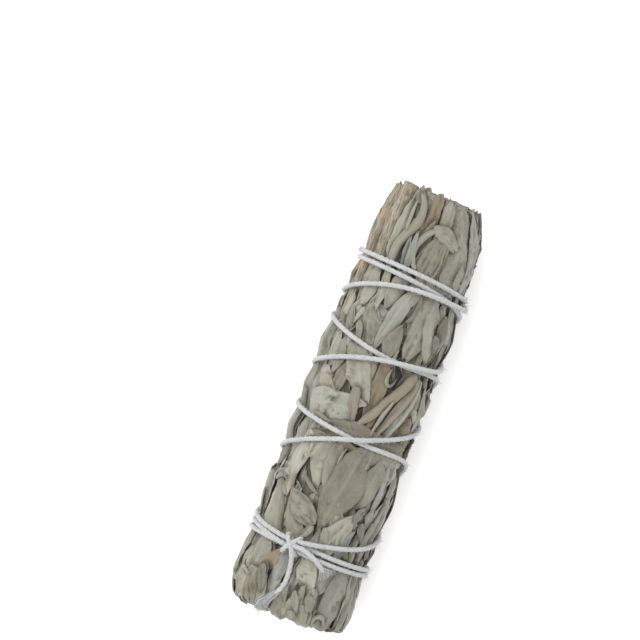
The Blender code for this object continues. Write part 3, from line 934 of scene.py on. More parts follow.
        # Painted shade: darker where the surroundings stand higher, and where the place lies below the bed's
        # mean height.
        beside = self.read(self.around, along, arc) - height
        sunk = self.read(self.mean, along, arc) - height
        return 1 - 0.62 * np.clip(beside / 0.6 - 0.25, 0, 1) - 0.34 * np.clip(sunk / 1.3 - 0.3, 0, 1)

    def radius(self, along: np.ndarray, arc: np.ndarray, height: np.ndarray) -> np.ndarray:
        """The distance from the axis of places at a height in the bed.

        Args:
            along: the places' distances from the cut end.
            arc: their arcs from the crown.
            height: their heights in the bed.
        Returns:
            Millimetres from the axis.
        """
        angle = np.degrees(arc / self.bundle.free)
        over = height - self.read(self.mean, along, arc)
        raised = self.highest * np.tanh(over / 0.9)
        sunk = self.deepest * np.tanh(over / self.deepest)
        out = self.bundle.radius(along, angle) - 0.05 + np.where(over > 0, raised, sunk)
        out = np.minimum(out, self.read(self.limit, along, arc) - self.string_gap)
        return np.minimum(out, self.bundle.floor(angle, self.floor_gap))


@dataclass
class MeshParts:
    """Closed shells gathered into one mesh, with a leaf map and a tint at each point."""

    points: list = field(default_factory=list)
    faces: list = field(default_factory=list)
    maps: list = field(default_factory=list)
    tints: list = field(default_factory=list)
    count: int = 0

    def add_grid(self, grid: np.ndarray, leaf_map: np.ndarray, tint: np.ndarray, turned: bool) -> np.ndarray:
        """Adds a grid of points and its faces.

        Args:
            grid: rows by columns by 3 points, in metres.
            leaf_map: rows by columns by 2.
            tint: rows by columns by 4.
            turned: whether the faces look the other way.
        Returns:
            The grid's point numbers.
        """
        rows, columns = grid.shape[:2]
        number = self.count + np.arange(rows * columns).reshape(rows, columns)
        quads = np.stack([number[:-1, :-1], number[1:, :-1], number[1:, 1:], number[:-1, 1:]], axis=-1)
        self.points.append(grid.reshape(-1, 3))
        self.maps.append(leaf_map.reshape(-1, 2))
        self.tints.append(tint.reshape(-1, 4))
        self.faces.append((quads[..., ::-1] if turned else quads).reshape(-1, 4))
        self.count += rows * columns
        return number

    def add_shell(self, top: np.ndarray, bottom: np.ndarray, leaf_map: np.ndarray, tint: np.ndarray) -> None:
        """Adds a closed shell between two grids.

        Args:
            top: the outer grid's points, in metres.
            bottom: the inner grid's.
            leaf_map: the leaf map at both.
            tint: the tint at both.
        """
        upper = self.add_grid(top, leaf_map, tint, False)
        lower = self.add_grid(bottom, leaf_map, tint, True)
        rims = [
            np.concatenate([g[0, :-1], g[:-1, -1], g[-1, :0:-1], g[:0:-1, 0]]) for g in (upper, lower)
        ]
        after = [np.roll(brown_rim_and_shade, -1) for brown_rim_and_shade in rims]
        self.faces.append(np.stack([rims[0], after[0], after[1], rims[1]], axis=-1))

    def object(self, name: str, material: bpy.types.Material) -> bpy.types.Object:
        """The gathered shells as one object.

        Args:
            name: its name.
            material: its material.
        Returns:
            The object, at the origin.
        """
        mesh = bpy.data.meshes.new(name)
        faces = np.concatenate(self.faces)
        mesh.from_pydata(np.concatenate(self.points), [], faces.tolist())
        corners = np.zeros(len(mesh.loops), np.int32)
        mesh.loops.foreach_get("vertex_index", corners)
        leaf_map = mesh.uv_layers.new(name="leaf_map")
        leaf_map.uv.foreach_set("vector", np.concatenate(self.maps)[corners].astype(np.float32).ravel())
        tint = mesh.color_attributes.new(TINT, "FLOAT_COLOR", "POINT")
        tint.data.foreach_set("color", np.concatenate(self.tints).astype(np.float32).ravel())
        mesh.materials.append(material)
        mesh.shade_smooth()
        mesh.set_sharp_from_angle(angle=math.radians(52))
        made = bpy.data.objects.new(name, mesh)
        bpy.context.scene.collection.objects.link(made)
        return made


def finished(piece: bpy.types.Object, slot: str, *nodes: str) -> bpy.types.Object:
    """Hands a finished piece to the frame: it rides on the stick and stands for its solids.

    Args:
        piece: the piece, a plain mesh.
        slot: a material slot's name; not used.
        nodes: the solids that it stands for.
    Returns:
        The piece.
    """
    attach(piece, "root")
    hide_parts(*nodes)
    log.info("%s: %d faces, for %s", piece.name, len(piece.data.polygons), ", ".join(nodes))
    return piece


FLAT, RIBBED, GROOVED, FOLDED = Form.FLAT, Form.RIBBED, Form.GROOVED, Form.FOLDED
ROLLED, PLEATED, CRUMPLED = Form.ROLLED, Form.PLEATED, Form.CRUMPLED

# The crown's leaves, from the lowest up: form, width, the midrib's places as (from the cut end,
# across from the crown), how pale it is, how brown (or blue, below 0), and how square its ends are.
CROWN = (
    (FOLDED, 2.0, ((24, -13.8), (15, -13.97), (7.2, -13.9)), 0.46, 0.12, 0.2),
    (FLAT, 2.2, ((44, -13.7), (32, -13.9), (20.2, -13.8)), 0.46, 0.0, 0.3),
    (FOLDED, 3.0, ((51, -13.9), (62, -13.97), (71, -13.9)), 0.48, 0.05, 0.5),
    (FLAT, 3.6, ((56.2, -12.0), (62, -12.2), (69.0, -13.2)), 0.54, -0.2, 0.4),
    (FOLDED, 2.6, ((76, -13.9), (88, -13.97), (96, -13.9)), 0.46, 0.05, 0.5),
    (FLAT, 6.4, ((21.5, 8.8), (12, 9.0), (1.2, 6.8)), 0.42, 0.0, 0.3),
    (FOLDED, 4.6, ((25, 12.9), (12, 12.8), (0.8, 9.4)), 0.50, -0.15, 0.3),
    (FOLDED, 3.8, ((15, -1.2), (7, -0.4), (0.0, -0.3)), 0.33, 0.85, 0.7),
    (FLAT, 1.8, ((13, 5.6), (1.2, 4.9)), 0.22, 0.3, 0.5),
    (FOLDED, 3.9, ((12.5, 3.2), (6, 3.2), (0.8, 3.3)), 0.74, 0.35, 0.8),
    (FLAT, 3.2, ((19.5, -0.8), (12, -0.9), (5.6, 0.6)), 0.55, 0.28, 0.0),
    (PLEATED, 7.0, ((20, 2.2), (15, 2.8), (8.8, 4.2)), 0.60, 0.14, 0.8),
    (ROLLED, 1.7, ((17.6, 0.2), (15.8, -3.4), (9.6, -1.8), (7.2, 2.6)), 0.72, 0.10, 0.6),
    (FLAT, 3.6, ((8.2, 1.2), (7.6, 4.4), (10.4, 7.6)), 0.74, 0.08, 0.8),
    (CRUMPLED, 2.8, ((3.6, -4.2), (0.4, -4.8)), 0.25, 0.35, 0.8),
    (FLAT, 4.0, ((22.5, -5.8), (14, -7.0), (8, -7.6), (2.4, -6.2)), 0.80, 0.0, 0.0),
    (ROLLED, 2.5, ((20, -5.9), (11, -8.2), (8, 1.4), (1.0, -4.8)), 0.70, 0.0, 0.5),
    (ROLLED, 1.3, ((9.8, -5.0), (6, -5.6), (3.0, -5.0)), 0.62, 0.05, 0.3),
    (FOLDED, 1.8, ((19.6, -3.4), (11.2, -3.4)), 0.55, 0.0, 0.2),
    (FLAT, 1.8, ((19.8, -2.3), (9.5, -2.2)), 0.45, 0.1, 0.2),
    (FLAT, 2.4, ((20.5, 10.7), (12.6, 10.2)), 0.45, 0.1, 0.0),
    (FLAT, 3.6, ((29, -8.6), (18.4, -8.8)), 0.62, -0.35, 0.1),
    (CRUMPLED, 6.4, ((38, -4.8), (27.6, -6.4)), 0.52, 0.08, 0.3),
    (FOLDED, 2.4, ((18.6, -6.0), (29.6, -5.0)), 0.62, 0.0, 0.1),
    (FLAT, 4.4, ((18.4, -1.4), (28, -3.4)), 0.62, 0.0, 0.1),
    (FLAT, 3.8, ((18.6, 2.4), (28, 0.8)), 0.60, 0.05, 0.1),
    (FLAT, 5.0, ((19.4, 6.8), (28.4, 6.2)), 0.55, 0.05, 0.2),
    (RIBBED, 4.6, ((22.4, 1.8), (29, -0.8), (37.4, -2.6)), 0.66, 0.0, 0.0),
    (GROOVED, 4.8, ((38.4, 0.8), (34, 1.2), (30.4, 2.0)), 0.55, 0.05, 0.0),
    (FOLDED, 7.2, ((22.4, 7.8), (29, 6.2), (37.6, 5.6)), 0.60, -0.12, 0.3),
    (FLAT, 4.2, ((25.6, 6.8), (31, 8.6), (36.2, 9.9)), 0.68, -0.30, 0.4),
    (FOLDED, 3.2, ((22.6, 12.2), (36.8, 12.7)), 0.50, -0.1, 0.2),
    (FLAT, 2.2, ((25, 10.9), (34, 11.2)), 0.38, 0.1, 0.1),
    (GROOVED, 5.0, ((45.5, -11.8), (35.4, -11.6)), 0.55, 0.05, 0.1),
    (FLAT, 3.2, ((37, -9.8), (46, -9.2)), 0.50, 0.05, 0.1),
    (FLAT, 5.0, ((43.6, -12.7), (57, -12.7)), 0.55, 0.0, 0.2),
    (FLAT, 3.8, ((44.6, -12.0), (51.6, -7.2)), 0.58, 0.1, 0.0),
    (CRUMPLED, 3.4, ((42.0, -6.6), (50.4, -7.4)), 0.34, 0.6, 0.5),
    (FLAT, 3.2, ((46.8, -11.0), (50.4, -6.6)), 0.60, 0.4, 0.3),
    (FOLDED, 3.8, ((39.6, 1.4), (56.4, 2.2)), 0.40, 0.6, 0.6),
    (FLAT, 6.0, ((37.4, -6.8), (42, -5.0), (49.4, -0.4)), 0.76, 0.0, 0.5),
    (FLAT, 6.6, ((53.4, -11.8), (52.2, -6), (51.6, -0.8)), 0.80, -0.05, 0.9),
    (FOLDED, 2.6, ((46.8, -3.0), (56, -1.4)), 0.68, 0.05, 0.7),
    (ROLLED, 1.1, ((55.2, -9.8), (56.4, -6.0)), 0.55, 0.35, 0.3),
    (RIBBED, 7.4, ((39.4, 9.8), (48, 9.2), (57, 7.4)), 0.45, 0.05, 0.1),
    (FOLDED, 2.3, ((40.6, 10.6), (48, 9.4), (57.0, 7.0)), 0.62, 0.1, 0.4),
    (FOLDED, 2.0, ((40.4, 10.0), (48, 7.6), (56.8, 4.8)), 0.50, 0.3, 0.4),
    (ROLLED, 2.5, ((38.8, 9.2), (46, 6.2), (54.6, 0.2)), 0.72, 0.42, 0.7),
    (ROLLED, 1.2, ((47.2, 5.8), (52, 4.2), (56.6, 3.8)), 0.62, 0.40, 0.3),
    (ROLLED, 0.9, ((40.2, 3.4), (44.6, 1.2), (45.4, 4.6), (42.6, 5.2)), 0.52, 0.3, 0.3),
    (FLAT, 3.0, ((39.6, 12.7), (54.6, 12.7)), 0.50, -0.05, 0.2),
    (FLAT, 4.5, ((57.6, -7.6), (56.2, -1), (56.8, 7), (57.8, 13.2)), 0.50, 0.14, 0.7),
    (FLAT, 1.5, ((57.3, -8.0), (57.7, -5.6)), 0.55, 1.3, 0.4),
    (FLAT, 3.8, ((61.2, 0.8), (60.2, 7), (61.0, 12.9)), 0.52, 0.03, 0.5),
    (FLAT, 2.6, ((60.6, -9.6), (59.6, -4.0), (60.2, 1.6)), 0.48, 0.10, 0.6),
    (FLAT, 6.4, ((59.6, -8.8), (67, -10.7), (75, -9.6)), 0.92, -0.12, 0.0),
    (FLAT, 3.0, ((65, -13.3), (79, -12.9)), 0.55, 0.0, 0.1),
    (FLAT, 4.8, ((59.2, -3.8), (65, -6.8), (71.6, -3.2)), 0.72, 0.0, 0.0),
    (GROOVED, 4.8, ((59.6, -2.6), (66, -1.8), (73.6, -0.2)), 0.58, 0.12, 0.0),
    (ROLLED, 0.9, ((60.6, -0.2), (64, -1.8), (67.4, 0.2)), 0.60, 0.3, 0.3),
    (FLAT, 5.0, ((60.8, 9.0), (73, 6.2)), 0.56, 0.02, 0.2),
    (FLAT, 3.2, ((61.4, 10.8), (74, 10.2)), 0.40, 0.1, 0.1),
    (FOLDED, 3.0, ((63, 13.1), (83, 13.2)), 0.38, 0.05, 0.2),
    (RIBBED, 8.6, ((59.8, 3.8), (69, 1.6), (80.4, 0.2)), 0.52, 0.24, 0.1),
    (ROLLED, 1.5, ((70.0, -8.6), (72, -9.6), (75.0, -7.0)), 0.34, 0.85, 0.3),
    (ROLLED, 1.0, ((69.4, -7.0), (71.6, -5.0), (72.4, -2.6)), 0.42, 0.5, 0.3),
    (FLAT, 3.6, ((85, -9.4), (73.6, -11.2)), 0.60, 0.0, 0.1),
    (FLAT, 4.8, ((85, -2.4), (77.2, -7.6)), 0.66, 0.03, 0.2),
    (CRUMPLED, 5.4, ((79.4, -1.8), (76, -5), (73.4, -8.2)), 0.70, 0.05, 0.1),
    (FLAT, 2.8, ((85, -2.0), (78.6, -1.8)), 0.60, 0.08, 0.2),
    (FLAT, 3.2, ((85, 1.0), (79.6, 0.6)), 0.56, 0.05, 0.2),
    (RIBBED, 5.4, ((85, 2.4), (79, 4.2), (73.6, 6.8)), 0.68, 0.02, 0.0),
    (FLAT, 3.2, ((86, 6.6), (77.6, 7.7)), 0.55, -0.3, 0.1),
    (FOLDED, 1.9, ((75.2, 9.3), (85, 9.9)), 0.50, 0.05, 0.2),
    (FLAT, 2.6, ((74.6, 11.2), (85, 11.6)), 0.38, 0.05, 0.2),
    (FLAT, 5.4, ((85.6, -10.0), (93.6, -10.8)), 0.66, 0.06, 0.2),
    (FLAT, 3.6, ((85.6, -4.8), (99, -5.4)), 0.60, -0.15, 0.1),
    (FLAT, 3.8, ((94, -9.3), (86.6, -6.2)), 0.62, 0.3, 0.0),
    (CRUMPLED, 2.4, ((90.6, -8.4), (95.0, -7.6)), 0.48, 0.4, 0.3),
    (FOLDED, 2.3, ((92.8, -10.2), (97, -11.4), (102.6, -11.9)), 0.50, 0.15, 0.5),
    (FOLDED, 2.2, ((92.6, -9.8), (98, -10.2), (103.6, -10.2)), 0.36, 0.5, 0.5),
    (FOLDED, 2.0, ((92.8, -9.4), (98, -8.8), (103.4, -8.4)), 0.42, 0.4, 0.5),
    (FOLDED, 1.9, ((93.2, -8.9), (98, -7.2), (103.0, -6.8)), 0.50, 0.2, 0.4),
    (FLAT, 2.2, ((97.0, -5.4), (105.2, -6.4)), 0.30, 0.1, 0.2),
    (FOLDED, 2.5, ((93, -7.2), (104.8, -6.4)), 0.50, 0.2, 0.5),
    (FLAT, 6.0, ((86, 6.8), (90, 5.6), (94.4, 3.6)), 0.60, 0.0, 0.1),
    (FLAT, 5.0, ((85.4, -0.6), (90, 1.8), (95.2, 2.8)), 0.74, 0.08, 0.0),
    (FLAT, 6.4, ((86, 9.9), (94, 8.7), (103.2, 8.0)), 0.46, -0.10, 0.5),
    (PLEATED, 3.8, ((92.6, 3.4), (104.6, 4.8)), 0.55, 0.05, 0.6),
    (ROLLED, 1.8, ((92.6, 1.3), (104.4, 1.7)), 0.50, 0.12, 0.6),
    (FLAT, 3.2, ((93.8, -2.8), (105.2, -2.5)), 0.60, 0.05, 0.7),
    (FLAT, 3.4, ((95.6, 0.2), (106.0, 0.7)), 0.66, 0.05, 0.7),
    (FLAT, 3.0, ((96.8, 2.9), (105.0, 3.8)), 0.52, 0.05, 0.7),
    (FOLDED, 2.3, ((83.6, 12.6), (102.6, 11.9)), 0.42, 0.0, 0.3),
    (FOLDED, 2.0, ((86, 13.5), (101, 13.1)), 0.40, 0.0, 0.3),
    (FLAT, 1.9, ((86, 11.4), (98, 11.2)), 0.36, 0.05, 0.2),
    (FLAT, 3.6, ((89, -13.3), (103, -12.7)), 0.55, 0.0, 0.3),
    (FOLDED, 2.0, ((79.4, -1.4), (82.9, -3.2)), 0.55, 0.05, 0.2),
    (FLAT, 2.2, ((78.8, 1.4), (83.2, 3.2)), 0.62, 0.05, 0.2),
    (CRUMPLED, 2.6, ((72.0, 8.4), (75.6, 6.6)), 0.50, 0.0, 0.3),
    (FOLDED, 2.0, ((75.4, 8.6), (79.2, 9.8)), 0.42, 0.05, 0.3),
    (FLAT, 1.8, ((71.6, 10.2), (75.4, 9.4)), 0.40, 0.0, 0.3),
    (FOLDED, 1.8, ((94.4, -0.2), (98.8, 1.6)), 0.46, 0.2, 0.3),
    (FLAT, 2.6, ((94.2, 3.6), (98.0, 4.4)), 0.55, 0.1, 0.6),
    (ROLLED, 1.0, ((100.4, 5.8), (97.2, 6.2), (97.6, 8.8), (100.6, 8.8)), 0.42, 0.1, 0.4),
    (CRUMPLED, 2.4, ((98.8, 0.6), (102.6, 1.6)), 0.48, 0.05, 0.4),
    (ROLLED, 0.9, ((93.6, -12.6), (94.8, -10.4)), 0.35, 0.3, 0.3),
    (FOLDED, 2.4, ((91.4, -8.6), (97.0, -6.8)), 0.44, 0.4, 0.3),
    (FOLDED, 2.2, ((32.6, -7.6), (37.8, -6.6)), 0.46, 0.3, 0.3),
    (FLAT, 1.8, ((29.4, -7.6), (33.4, -8.9)), 0.55, 0.1, 0.3),
    (CRUMPLED, 2.0, ((30.0, 9.6), (33.8, 10.6)), 0.40, 0.4, 0.3),
    (FLAT, 2.4, ((18.6, 4.4), (22.6, 5.6)), 0.58, 0.25, 0.6),
)


@dataclass(frozen=True)
class Stem:
    """One woody stem: its radius, its places and how far its bark has peeled."""

    number: int
    radius: float
    route: tuple  # (from the cut end, degrees, millimetres from the axis)
    peels: tuple = ()  # (from the cut end, reach, how far the bark has peeled) of each patch
    bare: float = 0.0  # how far from the cut end no leaf lies over it
    sides: int = 26
    step: float = 0.7
    ridges: float = 9.0  # cells of the bark's noise round the stem
    knob: float = 0.25
    cap: tuple = (0.82, 0.55, 0.28, 0.02)  # the end faces' rings, as shares of the radius

    def beside(self, first: float, last: float, radius: float, end: float) -> bool:
        """Whether a strip at an end would cover this bare stem.

        Args:
            first: the strip's first angle, in degrees.
            last: its last.
            radius: its distance from the axis.
            end: its end's distance from the cut end.
        Returns:
            True where it would.
        """
        _, angle, distance = self.route[0]
        turned = (np.array([first, last]) + 180.0) % 360.0 - 180.0
        apart = math.degrees((self.radius + 0.2) / distance)
        over = turned[0] - apart < angle < turned[1] + apart
        return bool(self.bare) and end == 0.0 and over and radius > distance - self.radius - 0.3

    def near(self, along: np.ndarray, arc: np.ndarray, free: float) -> np.ndarray:
        """Whether places round the bundle are over the bare part of this stem.

        Args:
            along: the places' distances from the cut end.
            arc: their arcs from the crown.
            free: the bundle's free radius.
        Returns:
            True or False for each place.
        """
        places = np.array(self.route, float)
        angle = np.interp(along, places[:, 0], places[:, 1])
        beside = np.abs(arc - np.radians(angle) * free)
        return (along < self.bare) & (beside < self.radius * 1.15)

    def line(self, bundle: Bundle, steps: int) -> np.ndarray:
        """The stem's centre line in metres, on a smooth curve through its places."""
        knots = bundle.placed(*np.array(self.route, float).T)
        return rounded_line(knots, steps, 6)

    def build(self, bundle: Bundle, material: bpy.types.Material) -> bpy.types.Object:
        """The stem's mesh, ridged along its bark, with a cut face at its end.

        Args:
            bundle: the stick's form.
            material: the stem material.
        Returns:
            The finished piece.
        """
        span = self.route[-1][0] - self.route[0][0]
        steps = int(span / self.step)
        line = self.line(bundle, steps)
        run, side, up = directions(line)
        turn = np.linspace(0, math.tau, self.sides, endpoint=False)[None, :]
        t = np.linspace(0, span, steps)[:, None]
        crinkle = Crinkle(40 + self.number)
        ring = turn / math.tau * self.ridges
        bark = 0.07 * crinkle.at(t * 0.35, ring) + 0.04 * crinkle.at(t * 1.3 + 7, ring)
        bark = bark + 0.05 * np.sin(3 * turn + 0.15 * t)
        swelling = np.exp(-(((t - 13.0 - self.number) % 21.0 - 4.0) / 1.2) ** 2)
        knobs = self.knob * swelling * (1 + np.cos(turn - 1.0)) / 2
        radius = self.radius * (1 + bark) + knobs
        parts = MeshParts()
        grid = line[:, None, :] + MM * radius[..., None] * (
            np.cos(turn)[..., None] * side[:, None, :] + np.sin(turn)[..., None] * up[:, None, :]
        )
        caps = []
        for end, sign in ((0, -1.0), (-1, 1.0)):
            rows = []
            for share in self.cap:
                rough = 0.05 * crinkle.at(self.ridges * share, turn[0] * 3)
                inner = line[end] + (grid[end] - line[end]) * share
                rows.append(inner + run[end] * MM * (sign * 0.06 + rough[:, None] * (share > 0.1)))
            caps.append(np.stack(rows))
        whole = np.concatenate([caps[0][::-1], grid, caps[1]])
        whole = np.concatenate([whole, whole[:, :1]], axis=1)
        tint = np.zeros((*whole.shape[:2], 4))
        deep = len(self.cap)
        far = np.concatenate([np.zeros(deep), t[:, 0], np.full(deep, span)]) + self.route[0][0]
        peel = np.zeros_like(far)
        for place, reach, much in self.peels:
            peel += much * np.exp(-(((far - place) / reach) ** 2))
        tint[..., 0] = peel[:, None]
        tint[:deep, :, 1] = 1.0
        tint[-deep:, :, 1] = 1.0
        tint[..., 3] = 1.0
        parts.add_grid(whole, np.zeros((*whole.shape[:2], 2)), tint, True)
        made = parts.object(f"stem_bark_{self.number}", material)
        weld_seam(made.data)
        return finished(made, "woody_stem", f"woody_stem_{self.number}")


def weld_seam(mesh: bpy.types.Mesh) -> None:
    """Joins a tube's first and last columns, closes its ends and turns its faces outwards.

    Args:
        mesh: the tube's mesh, or that of many tubes.
    """
    builder = bmesh.new()
    builder.from_mesh(mesh)
    bmesh.ops.remove_doubles(builder, verts=builder.verts, dist=1e-7)
    bmesh.ops.holes_fill(builder, edges=builder.edges, sides=0)
    bmesh.ops.recalc_face_normals(builder, faces=builder.faces)
    for face in builder.faces:
        face.smooth = True
    builder.to_mesh(mesh)
    builder.free()


@dataclass(frozen=True)
class Layer:
    """Seeded leaves that are laid together."""

    count: int
    coarse: float  # how coarse their meshes are
    wide: float  # the width of a broad one
    long: tuple  # the range of their lengths


@dataclass
class SageBundle:
    """All the sprigs' leaves, laid one over another and then pressed to the bundle's form."""

    bundle: Bundle
    material: bpy.types.Material
    stems: tuple
    lanes: tuple = (
        (-33.0, 57.0),
        (57.0, 111.0),
        (111.0, 165.0),
        (165.0, 219.0),
        (219.0, 273.0),
        (273.0, 327.0),
    )
    lane_width: float = 54.0  # degrees that the counts in a lane are for
    crown_edges: tuple = (80.0, 283.0)  # degrees between which the side leaves have their middles
    under: Layer = Layer(26, 2.3, 7.5, (11.0, 23.0))  # in each lane, which show only in gaps
    side: Layer = Layer(38, 1.3, 5.4, (12.0, 27.0))  # over them, away from the crown
    crown: Layer = Layer(60, 1.35, 4.8, (8.0, 20.0))  # under the crown's own leaves
    scraps: Layer = Layer(104, 1.1, 3.0, (3.5, 9.0))  # small pieces in the crown's gaps
    own_coarse: float = 1.2  # the mesh of the crown's own leaves
    end_strips: int = 34  # in each lane, at each end
    strip_outer: float = 13.4
    middle_strips: int = 30
    middle_inner: tuple = (2.3, 0.4)  # the innermost strips' radius, at the cut end and the other
    middle_outer: float = 5.6
    middle_core: tuple = (1.9, 5.1)
    inner: float = 5.7
    core_depth: float = 1.45
    # tone, warmth, edge, and a low last number that paints the packed core in deep shade
    core_tint_with_shade: tuple = (0.15, 0.62, 0.3, 0.10)
    seed: int = 5

    def __post_init__(self) -> None:
        """Makes the bed and the draws."""
        self.bed = LeafBed(self.bundle)
        self.draw = np.random.default_rng(self.seed)
        self.crinkle = Crinkle(3)

    def lane_of(self, arc: float) -> int:
        """The sprig under a place round the bundle."""
        first = self.lanes[0][0]
        angle = (math.degrees(arc / self.bundle.free) - first) % 360.0 + first
        return next(k for k, (low, high) in enumerate(self.lanes) if low <= angle < high + 1e-9)

    def share(self, count: int, low: float, high: float) -> int:
        """How many of a count for a lane go between two angles."""
        return round(count * (high - low) / self.lane_width)

    def random_leaf(self, low: float, high: float, layer: Layer) -> Leaf:
        """A leaf somewhere between two angles, by a seeded draw.

        Args:
            low: the first angle, in degrees.
            high: the last.
            layer: what its layer's leaves are like.
        Returns:
            The leaf.
        """
        draw = self.draw
        length = draw.uniform(*layer.long)
        middle = draw.uniform(2.0, self.bundle.length - 2.0)
        arc = math.radians(draw.uniform(low, high)) * self.bundle.free
        lean = draw.normal(0.0, 2.4 / length) + (draw.uniform(-0.9, 0.9) if draw.random() < 0.12 else 0.0)
        sign = 1 if draw.random() < 0.5 else -1
        step = (sign * length / 2 * math.cos(lean), length / 2 * math.sin(lean))
        bend = draw.normal(0.0, 1.3)
        route = (
            (middle - step[0], arc - step[1]),
            (middle, arc + bend),
            (middle + step[0], arc + step[1]),
        )
        first, last = draw.uniform(-0.5, 1.6), self.bundle.length + draw.uniform(-1.6, 1.8)
        route = tuple((min(max(s, first), last), a) for s, a in route)
        forms = (FLAT, RIBBED, GROOVED, FOLDED, ROLLED, PLEATED, CRUMPLED)
        form = forms[draw.choice(7, p=(0.30, 0.13, 0.15, 0.18, 0.08, 0.08, 0.08))]
        width = draw.uniform(1.2, 2.2) if form is ROLLED else layer.wide * draw.uniform(0.6, 1.15)
        warm = draw.normal(0.0, 0.22) + (draw.uniform(0.3, 0.8) if draw.random() < 0.10 else 0.0)
        return Leaf(
            form,
            width,
            route,
            tone=draw.normal(0.54, 0.16),
            warm=warm,
            roll=draw.uniform(-0.12, 0.22),
            cup=draw.uniform(-0.16, 0.16),
            tilt=draw.uniform(-0.3, 0.3),
            blunt=draw.uniform(0.0, 0.7),
            crease=draw.uniform(-0.6, 0.6),
            seed=int(draw.integers(1, 90)),
            coarse=layer.coarse,
        )

    def seeded_leaves(self) -> Iterator[Leaf]:
        """The leaves that are placed by a seeded draw, from the lowest up.

        Returns:
            The leaves, one at a time.
        """
        for low, high in self.lanes:
            for _ in range(self.share(self.under.count, low, high)):
                yield self.random_leaf(low, high, self.under)
        for low, high in self.lanes[1:]:
            low, high = max(low, self.crown_edges[0]), min(high, self.crown_edges[1])
            for _ in range(self.share(self.side.count, low, high)):
                yield self.random_leaf(low, high, self.side)
        for _ in range(self.crown.count):
            yield self.random_leaf(-62.0, 64.0, self.crown)
        for _ in range(self.scraps.count):
            yield self.random_leaf(-60.0, 60.0, self.scraps)

    def own_leaves(self) -> Iterator[Leaf]:
        """The crown's own leaves, placed one by one and varied a little by a seeded draw.

        Returns:
            The leaves, one at a time.
        """
        draw = np.random.default_rng(self.seed + 1)
        for number, (form, width, route, tone, warm, blunt) in enumerate(CROWN):
            yield Leaf(
                form,
                width,
                tuple((along, self.bundle.arc(across)) for along, across in route),
                tone=tone + draw.normal(0.0, 0.12),
                warm=warm + draw.normal(0.0, 0.20),
                roll=draw.uniform(-0.06, 0.12),
                cup=draw.uniform(-0.12, 0.10),
                tilt=draw.uniform(-0.28, 0.28),
                blunt=blunt,
                crease=draw.uniform(-0.5, 0.5),
                seed=number,
                coarse=self.own_coarse,
            )

    def hides_stem(self, leaf: Leaf) -> bool:
        """Whether a leaf would lie over the bare part of a stem.

        Args:
            leaf: the leaf.
        Returns:
            True where it would.
        """
        line = leaf.line(np.linspace(0, 1, 24))
        turned = self.bundle.shorter(line[:, 1])
        places = np.concatenate([turned - 0.33 * leaf.width, turned, turned + 0.33 * leaf.width])
        along = np.tile(line[:, 0], 3)
        return any(stem.near(along, places, self.bundle.free).sum() > 2 for stem in self.stems)

    def lay_leaf(self, leaf: Leaf) -> dict:
        """Lays one leaf in the bed and keeps its grid.

        Args:
            leaf: the leaf.
        Returns:
            The leaf, its sprig's lane, its length and its grid.
        """
        length = leaf.length()
        rows = max(7, int(length / (0.55 * leaf.coarse)))
        columns = max(9, int(leaf.width / (0.42 * leaf.coarse)) + 5)
        t = np.linspace(0, 1, rows)
        w = np.sin(np.linspace(-math.pi / 2, math.pi / 2, columns))[None, :]
        line = leaf.line(t)
        run = np.gradient(line, axis=0)
        run /= np.linalg.norm(run, axis=1)[:, None]
        normal = np.stack([-run[:, 1], run[:, 0]], axis=-1)
        t = t[:, None]
        wander = self.crinkle.at(t * length * 0.55 + leaf.seed * 3.1, np.sign(w) * 2.0 + leaf.seed)
        offset = w * leaf.half_width(t, np.sign(w), wander)
        lean = leaf.slant(t) * offset
        torn = 0.7 * self.crinkle.at(w * 3.1 + leaf.seed, leaf.seed * 0.7)
        jag = lean + torn * np.clip(4 * t - 3, 0, 1)
        along = line[:, :1] + normal[:, :1] * offset
        arc = line[:, 1:] + normal[:, 1:] * offset
        along, arc = along + run[:, :1] * jag, arc + run[:, 1:] * jag
        down, over = t * length, offset + leaf.seed * 1.7
        crinkle = self.crinkle.at(down * 0.30 + leaf.seed, over * 0.75)
        crinkle = crinkle + 0.5 * self.crinkle.at(down * 0.9, over * 1.6)
        relief = leaf.relief(t, w, crinkle) - 0.25 * np.clip(1 - t / 0.12, 0, 1) ** 2
        top = self.bed.lay(along, arc, relief, 0.30 + 0.08 * min(leaf.width, 6.0))
        lane = self.lane_of(leaf.line(np.array([0.5]))[0, 1])
        grid = {"along": along, "arc": arc, "top": top, "t": t, "w": w}
        return {"leaf": leaf, "lane": lane, "length": length, **grid}

    def add_leaf(self, parts: MeshParts, laid: dict) -> None:
        """Adds a laid leaf to its sprig's mesh, pressed to the bundle's form.

        Args:
            parts: the sprig's mesh.
            laid: what lay_leaf kept.
        """
        leaf, along, arc = laid["leaf"], laid["along"], laid["arc"]
        upper = self.bed.radius(along, arc, laid["top"])
        thick = self.bed.thickness * (1 - 0.35 * np.abs(laid["w"]) ** 4)
        angle = np.degrees(arc / self.bundle.free)
        top = self.bundle.placed(along, angle, upper)
        bottom = self.bundle.placed(along, angle, upper - thick)
        t, w = np.broadcast_arrays(laid["t"], laid["w"])
        leaf_map = np.stack([w * leaf.width / 20.0, t * laid["length"] / 10.0], axis=-1)
        tint = np.ones((*t.shape, 4))
        tint[..., 0] = leaf.tone
        tint[..., 1] = 0.5 + 0.5 * leaf.warm
        tint[..., 2] = np.maximum(np.abs(w), np.abs(2 * t - 1) ** 6)
        # The alpha carries the painted shade of hollows between leaves.
        tint[..., 3] = self.bed.unshaded_share(along, arc, laid["top"])
        parts.add_shell(top, bottom, leaf_map, tint)

